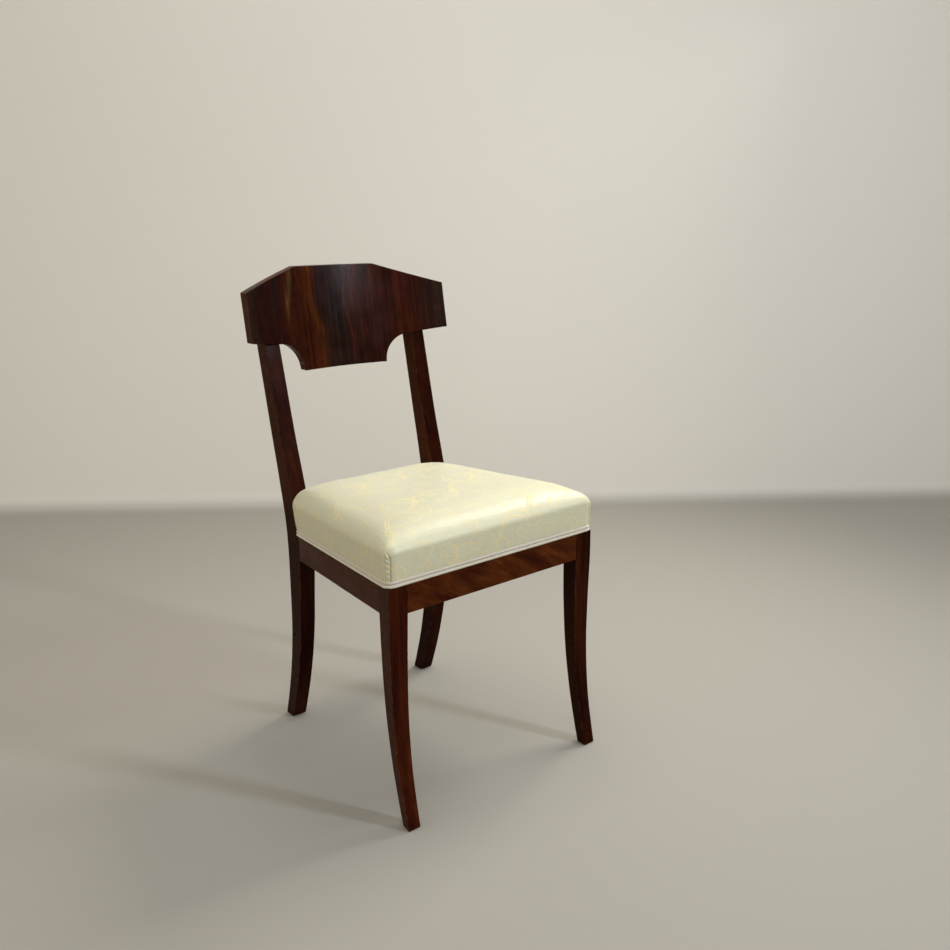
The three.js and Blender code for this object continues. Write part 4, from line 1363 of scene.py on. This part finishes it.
def addSeat():
    mesh = seatForm("seatCover", clothCells["fine"])
    fillOut(mesh, filling)
    addSlots(mesh)
    cover = newObject("seatCover", mesh)
    stuffing = newObject("seatStuffing", mesh.copy())
    handWork(mesh, pulls)
    tuckCorners(mesh, tuck)
    cutAtStiles(cover, seat["stileGap"])
    return cover, stuffing


def openUnderside(mesh):
    # The face across the underside is only there for the cut
    work = opened(mesh)
    under = [face for face in work.faces if face.material_index == seatParts["underside"]]
    bmesh.ops.delete(work, geom=under, context="FACES")
    loose = [vertex for vertex in work.verts if not vertex.link_faces]
    bmesh.ops.delete(work, geom=loose, context="VERTS")
    written(work, mesh)


def stileEdges(cover, radius):
    # The edges where the cover turns in against a stile, moved in by the radius of the hem
    work = opened(cover.data)
    places, edges, numbers = [], [], {}
    for edge in work.edges:
        parts = {face.material_index: face for face in edge.link_faces}
        if set(parts) != {seatParts["cloth"], seatParts["stile"]}:
            continue
        for vertex in edge.verts:
            if vertex.index not in numbers:
                numbers[vertex.index] = len(places)
                places.append(vertex.co - parts[seatParts["stile"]].normal * radius)
        edges.append([numbers[vertex.index] for vertex in edge.verts])
    work.free()
    return newMesh("stileHems", places, edges)


hem = {
    "radius": 0.0011,
    "step": 0.003,
    "ringPoints": 10,
}

cover, stuffing = addSeat()
hemPath = stileEdges(cover, hem["radius"])
openUnderside(cover.data)
dress(cover.data, coverMaterial, seat["coverDegrees"])
thick = cover.modifiers.new("clothThickness", "SOLIDIFY")
thick.thickness, thick.offset = seat["coverThickness"], -1
settled(cover)
claim(cover, "damask", "seat_cover")


# Stuffing: the same swollen form, inside the cover and above the base cloth

padding = {
    "inset": 0.0024,
    "stileGap": 0.003,
    "underside": 0.43845,  # above the base cloth, before the fall of the seat
    "mergeDistance": 0.0002,
    "smoothDegrees": 60,
}


def allOf(work):
    return work.verts[:] + work.edges[:] + work.faces[:]


def finishStuffing(piece, values):
    push(piece.data, -values["inset"])
    cutAtStiles(piece, values["stileGap"])
    work = opened(piece.data)
    bmesh.ops.remove_doubles(work, verts=work.verts, dist=values["mergeDistance"])
    cut = bmesh.ops.bisect_plane(
        work, geom=allOf(work), plane_co=inFrame(0, 0, values["underside"]),
        plane_no=Vector((0, seatSlope, 1)), clear_inner=True)
    rim = [item for item in cut["geom_cut"] if isinstance(item, bmesh.types.BMEdge)]
    bmesh.ops.holes_fill(work, edges=rim)
    written(work, piece.data)
    dress(piece.data, stuffingMaterial, values["smoothDegrees"])


finishStuffing(stuffing, padding)
claim(stuffing, "stuffing", "seat_stuffing")
print("stuffing:", len(stuffing.data.polygons), "faces")


# Geometry trees for what repeats or follows a path

def newGrowth(name, inputs):
    inputs = {"Geometry": "Geometry", **inputs, "Finish": "Material"}
    return newTree(name, "Geometry", inputs, {"Geometry": "Geometry"})


def shaped(kind, inputs, socket=0, **settings):
    # A geometry node in the tree of its inputs
    return output(treeOf(inputs.values()), "GeometryNode" + kind, inputs, socket, **settings)


def leaveTree(tree, geometry, enter, leave):
    real = shaped("RealizeInstances", {0: geometry})
    smooth = shaped("SetShadeSmooth", {0: real})
    wire({0: shaped("SetMaterial", {0: smooth, "Material": enter["Finish"]})}, leave)
    return tree


def pathCurve(enter):
    curve = shaped("MeshToCurve", {0: enter["Geometry"]})
    return shaped("ResampleCurve", {"Curve": curve, "Length": enter["Step"]}, mode="LENGTH")


def stored(geometry, name, value):
    return shaped("StoreNamedAttribute", {
        "Geometry": geometry, "Name": name, "Value": value,
    }, data_type="FLOAT", domain="POINT")


def swept(path, section):
    return shaped("CurveToMesh", {"Curve": path, "Profile Curve": section, "Fill Caps": True})


def ball(tree, segments, rings):
    return output(tree, "GeometryNodeMeshUVSphere", {"Segments": segments, "Rings": rings, "Radius": 1.0})


def buildCordTree():
    # A twisted cord along a path: a lobed ring that turns once in each pitch
    tree, enter, leave = newGrowth("twistedCord", {
        "Radius": 0.003, "Pitch": 0.008, "Lobes": 3, "Lobe Depth": 0.1, "Step": 0.0011, "Ring Points": 15,
    })
    length, share = (
        output(tree, "GeometryNodeSplineParameter", socket=name) for name in ("Length", "Factor"))
    tilt = length / enter["Pitch"] * (2 * math.pi)
    path = shaped("SetCurveTilt", {"Curve": pathCurve(enter), "Tilt": tilt})
    ring = shaped("CurvePrimitiveCircle", {"Resolution": enter["Ring Points"], "Radius": enter["Radius"]})
    ridge = calc("COSINE", share * (2 * math.pi) * enter["Lobes"])
    ring = stored(ring, "ridge", ridge)
    lobes = output(tree, "ShaderNodeVectorMath", {
        "Vector": output(tree, "GeometryNodeInputPosition"), "Scale": ridge * enter["Lobe Depth"],
    }, operation="SCALE")
    ring = shaped("SetPosition", {"Geometry": ring, "Offset": lobes})
    return leaveTree(tree, swept(path, ring), enter, leave)


def buildStitchTree():
    # Short stitches, one at each spacing of a path, slanted across it
    tree, enter, leave = newGrowth("stitchRow", {
        "Spacing": 0.004, "Radius": 0.0004, "Length": 0.003, "Slant": 0.6,
    })
    curve = shaped("MeshToCurve", {0: enter["Geometry"]})
    curve = shaped("SetCurveNormal", {"Curve": curve}, mode="Z_UP")
    points = addNode(tree, "GeometryNodeCurveToPoints", {
        "Curve": curve, "Length": enter["Spacing"],
    }, mode="LENGTH").outputs
    scale = combine(enter["Radius"], enter["Radius"], enter["Length"] * 0.5)
    thread = shaped("Transform", {"Geometry": ball(tree, 8, 5), "Scale": scale})
    turn = output(tree, "FunctionNodeAxisAngleToRotation", {"Axis": (1, 0, 0), "Angle": enter["Slant"]})
    rotation = output(tree, "FunctionNodeRotateRotation", {
        "Rotation": Field(points["Rotation"]), "Rotate By": turn,
    }, rotation_space="LOCAL")
    row = shaped("InstanceOnPoints", {
        "Points": Field(points["Points"]), "Instance": thread, "Rotation": rotation,
    })
    return leaveTree(tree, row, enter, leave)


def buildStrapTree():
    # A woven strap along a path, with its length and width kept for the weave
    tree, enter, leave = newGrowth("wovenStrap", {"Width": 0.05, "Thickness": 0.0016, "Step": 0.006})
    path = shaped("SetCurveNormal", {"Curve": pathCurve(enter)}, mode="Z_UP")
    path = stored(path, "along", output(tree, "GeometryNodeSplineParameter", socket="Length"))
    section = shaped("CurvePrimitiveQuadrilateral", {
        "Width": enter["Width"], "Height": enter["Thickness"],
    })
    section = shaped("ResampleCurve", {"Curve": section, "Count": 20}, mode="COUNT")
    section = stored(section, "across", separate(output(tree, "GeometryNodeInputPosition"))[0])
    return leaveTree(tree, swept(path, section), enter, leave)


def buildHeadTree():
    # Domed nail heads that face down, one at each point
    tree, enter, leave = newGrowth("nailHeads", {"Radius": 0.003, "Height": 0.0012})
    turn = output(tree, "FunctionNodeRandomValue", {
        "Min": (-0.12, -0.12, 0), "Max": (0.12, 0.12, 6.28), "Seed": 7,
    }, data_type="FLOAT_VECTOR")
    heads = shaped("InstanceOnPoints", {
        "Points": shaped("MeshToPoints", {"Mesh": enter["Geometry"]}), "Instance": ball(tree, 12, 6),
        "Rotation": turn, "Scale": combine(enter["Radius"], enter["Radius"], enter["Height"]),
    })
    return leaveTree(tree, heads, enter, leave)


cordTree = buildCordTree()
stitchTree = buildStitchTree()
strapTree = buildStrapTree()
headTree = buildHeadTree()


def pathMesh(name, path):
    return newMesh(name, path, [(n, n + 1) for n in range(len(path) - 1)])


def grown(name, base, tree, values, slotName, *nodes):
    # One run of a geometry tree, kept as a plain mesh
    piece = newObject(name, base)
    growth = piece.modifiers.new("growth", "NODES")
    growth.node_group = tree
    for item in tree.interface.items_tree:
        if item.item_type == "SOCKET" and item.in_out == "INPUT" and item.name in values:
            growth[item.identifier] = values[item.name]
    settled(piece)
    return claim(piece, slotName, *nodes)


# Welt: two twisted cords sewn along the lower edge of the cover, with stitches between them

welt = {
    "inset": -0.0006,
    "cornerRadius": 0.0128,
    "cords": {
        # height of the middle above the welt line, radius, pitch
        "lowerCord": (0.0030, 0.00285, 0.0085),
        "upperCord": (0.0086, 0.0027, 0.0085),
    },
    "lobes": 3,
    "lobeDepth": 0.09,
    "pathStep": 0.0015,
    "rearPoints": 120,
    "endGap": 0.0008,
    "stitchHeight": 0.0058,
    "stitchInset": -0.0014,
    "stitches": {"Spacing": 0.0036, "Length": 0.0034, "Radius": 0.00042, "Slant": 0.5},
}


def frontWeltPath(height, inset, rear):
    step = welt["pathStep"]
    side = [(sideX(depth, inset), depth) for depth in np.arange(rear, inset, -step)]
    corner = sideX(inset, inset)
    outline = [(-x, depth) for x, depth in side]
    outline += [(x, inset) for x in np.arange(-corner, corner, step)]
    outline += reversed(side)
    rounded = [roundCorner(x, depth, inset, welt["cornerRadius"]) for x, depth in outline]
    return [inFrame(x, depth, height) for x, depth in rounded]


def rearWeltPath(height, inset, end):
    return [inFrame(x, seat["back"] - inset, height) for x in np.linspace(-end, end, welt["rearPoints"])]


def addWelt():
    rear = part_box("welt_front")[1].y - seat["front"] - welt["endGap"]
    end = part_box("welt_rear")[1].x - welt["endGap"]
    made = []
    for place, routeOf, limit in (("front", frontWeltPath, rear), ("rear", rearWeltPath, end)):
        for name, (rise, radius, pitch) in welt["cords"].items():
            route = routeOf(seat["weltLine"] + rise, welt["inset"], limit)
            made.append(grown(place + "Welt" + name[0].upper() + name[1:], pathMesh(name, route), cordTree, {
                "Lobes": welt["lobes"], "Lobe Depth": welt["lobeDepth"], "Radius": radius,
                "Pitch": pitch, "Finish": weltMaterials[name],
            }, "welt", "welt_" + place))
        route = routeOf(seat["weltLine"] + welt["stitchHeight"], welt["stitchInset"], limit)
        made.append(grown(place + "WeltStitches", pathMesh("stitches", route), stitchTree, {
            **welt["stitches"], "Finish": weltMaterials["thread"],
        }, "welt"))
    return made


print("welt:", len(addWelt()), "pieces")

grown("stileHems", hemPath, cordTree, {
    "Radius": hem["radius"], "Lobe Depth": 0.0, "Step": hem["step"], "Ring Points": hem["ringPoints"],
    "Finish": coverMaterial,
}, "damask")


# Base cloth and dust cloth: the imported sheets, cut into a fine grid and let down a little

cloths = {
    # node: slot, sag, wrinkle, cell
    "base_cloth": ("hessian", 0.0, 0.0, 0.02),
    "dust_cloth": ("dust_cloth", -0.0042, 0.0006, 0.010),
}
hanging = {
    "heldShare": 1.06,  # a little over 1, so that the sag ends before the edge
    "rippleScale": 22,
    "rippleSlice": 0.4,
    "rippleRise": 4,
}


def hangCloth(node, slotName, sag, wrinkle, cell):
    low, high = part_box(node)
    work = mergedMesh(node)
    for axis in (0, 1):
        count = int((high[axis] - low[axis]) / cell)
        normal = Vector((1, 0, 0)) if axis == 0 else Vector((0, 1, 0))
        for n in range(1, count):
            place = low[axis] + (high[axis] - low[axis]) * n / count
            bmesh.ops.bisect_plane(work, geom=allOf(work), plane_co=normal * place, plane_no=normal)
    middle, scale = (low + high) / 2, hanging["rippleScale"]
    for vertex in work.verts:
        x, y, _ = vertex.co
        free = 1
        for axis in (0, 1):
            away = abs((vertex.co[axis] - middle[axis]) / (high[axis] - middle[axis]))
            free *= 1 - min(1, away * hanging["heldShare"]) ** 2
        ripple = noise.noise(Vector((x * scale, y * scale, hanging["rippleSlice"])))
        vertex.co.z += sag * free + wrinkle * ripple * min(1, hanging["rippleRise"] * free)
    return newPiece(node, work, clothMaterials[node], slotName)


for node, values in cloths.items():
    piece = hangCloth(node, *values)


# Webbing: six straps that pass over and under each other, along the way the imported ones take

straps = {
    "width": 0.0498,
    "thickness": 0.0015,
    "level": 0.4351,
    "rise": 0.00095,
    "gap": 0.0003,
    "placeShares": (-0.27, 0, 0.27),
    "step": 0.004,
}


def strapPath(node, crossings, sign):
    # Level of the strap along its length, straight between the places where it crosses others
    low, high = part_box(node)
    isLong = "long" in node
    start, end = (low.y, high.y) if isLong else (low.x, high.x)
    middle = (low.x + high.x) / 2 if isLong else (low.y + high.y) / 2
    half = straps["width"] / 2 + straps["gap"]
    stops, rises = [start], [0]
    for number, place in enumerate(crossings):
        stops += [place - half, place + half]
        rises += [straps["rise"] * sign * (-1) ** number] * 2
    places = []
    for along in np.linspace(start, end, int((end - start) / straps["step"])):
        rise = float(np.interp(along, stops + [end], rises + [0]))
        x, y = (middle, along) if isLong else (along, middle)
        places.append(inFrame(x, y - seat["front"], straps["level"] + rise))
    return places


def addWebbing():
    longPlaces = [share * 2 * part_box("rear_leg_right")[0].x for share in straps["placeShares"]]
    middle = seat["front"] + seat["back"] / 2
    crossPlaces = [middle + share * seat["back"] for share in straps["placeShares"]]
    for kind, crossings, firstSign in (("long", crossPlaces, 1), ("cross", longPlaces, -1)):
        for number in range(3):
            node = "webbing_%s_%d" % (kind, number + 1)
            route = strapPath(node, crossings, firstSign * (-1) ** number)
            strap = grown(pieceName(node), pathMesh(node, route), strapTree, {
                "Width": straps["width"], "Thickness": straps["thickness"], "Step": straps["step"],
                "Finish": webbingMaterial,
            }, "webbing", node)
    print("webbing: 6 straps")


addWebbing()


# Tacks that hold the dust cloth up against the rails

tacks = {
    "radius": 0.0032,
    "height": 0.0011,
    "inset": 0.0185,
    "spacing": 0.031,
    "legClear": 0.03,
    "rearLegClear": 0.012,
    "sideFrontClear": 0.01,
    "sideRearClear": 0.045,
    "sunk": 0.3,  # share of the height
    "below": 0.0004,
    "rayStart": 0.1,  # below the rails
}


def tackPlaces():
    # Along each rail, clear of the legs
    inset, clear, spacing = tacks["inset"], tacks["legClear"], tacks["spacing"]
    end = seat["back"] - inset

    def along(start, stop):
        count = round((stop - start) / spacing)
        return [start + (stop - start) * n / count for n in range(count + 1)]

    front = sideX(inset, inset) - clear
    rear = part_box("rear_leg_right")[0].x - tacks["rearLegClear"]
    places = [(x, inset) for x in along(-front, front)] + [(x, end) for x in along(-rear, rear)]
    for depth in along(inset + clear + tacks["sideFrontClear"], end - tacks["sideRearClear"]):
        places += [(side * sideX(depth, inset), depth) for side in (-1, 1)]
    return places


def addTacks():
    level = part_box("side_rail_left")[0].z - tacks["rayStart"]
    cloth = bpy.data.objects["dustCloth"].data
    tree = BVHTree.FromPolygons([v.co[:] for v in cloth.vertices], [f.vertices[:] for f in cloth.polygons])
    lift = Vector((0, 0, tacks["height"] * tacks["sunk"] - tacks["below"]))
    places = []
    for x, depth in tackPlaces():
        hit = tree.ray_cast(Vector((x, seat["front"] + depth, level)), Vector((0, 0, 1)))[0]
        if hit:
            places.append(hit + lift)
    grown("dustClothTacks", newMesh("tackPlaces", places), headTree, {
        "Radius": tacks["radius"], "Height": tacks["height"], "Finish": tackMaterial,
    }, "screw_steel")
    print("tacks:", len(places))


addTacks()
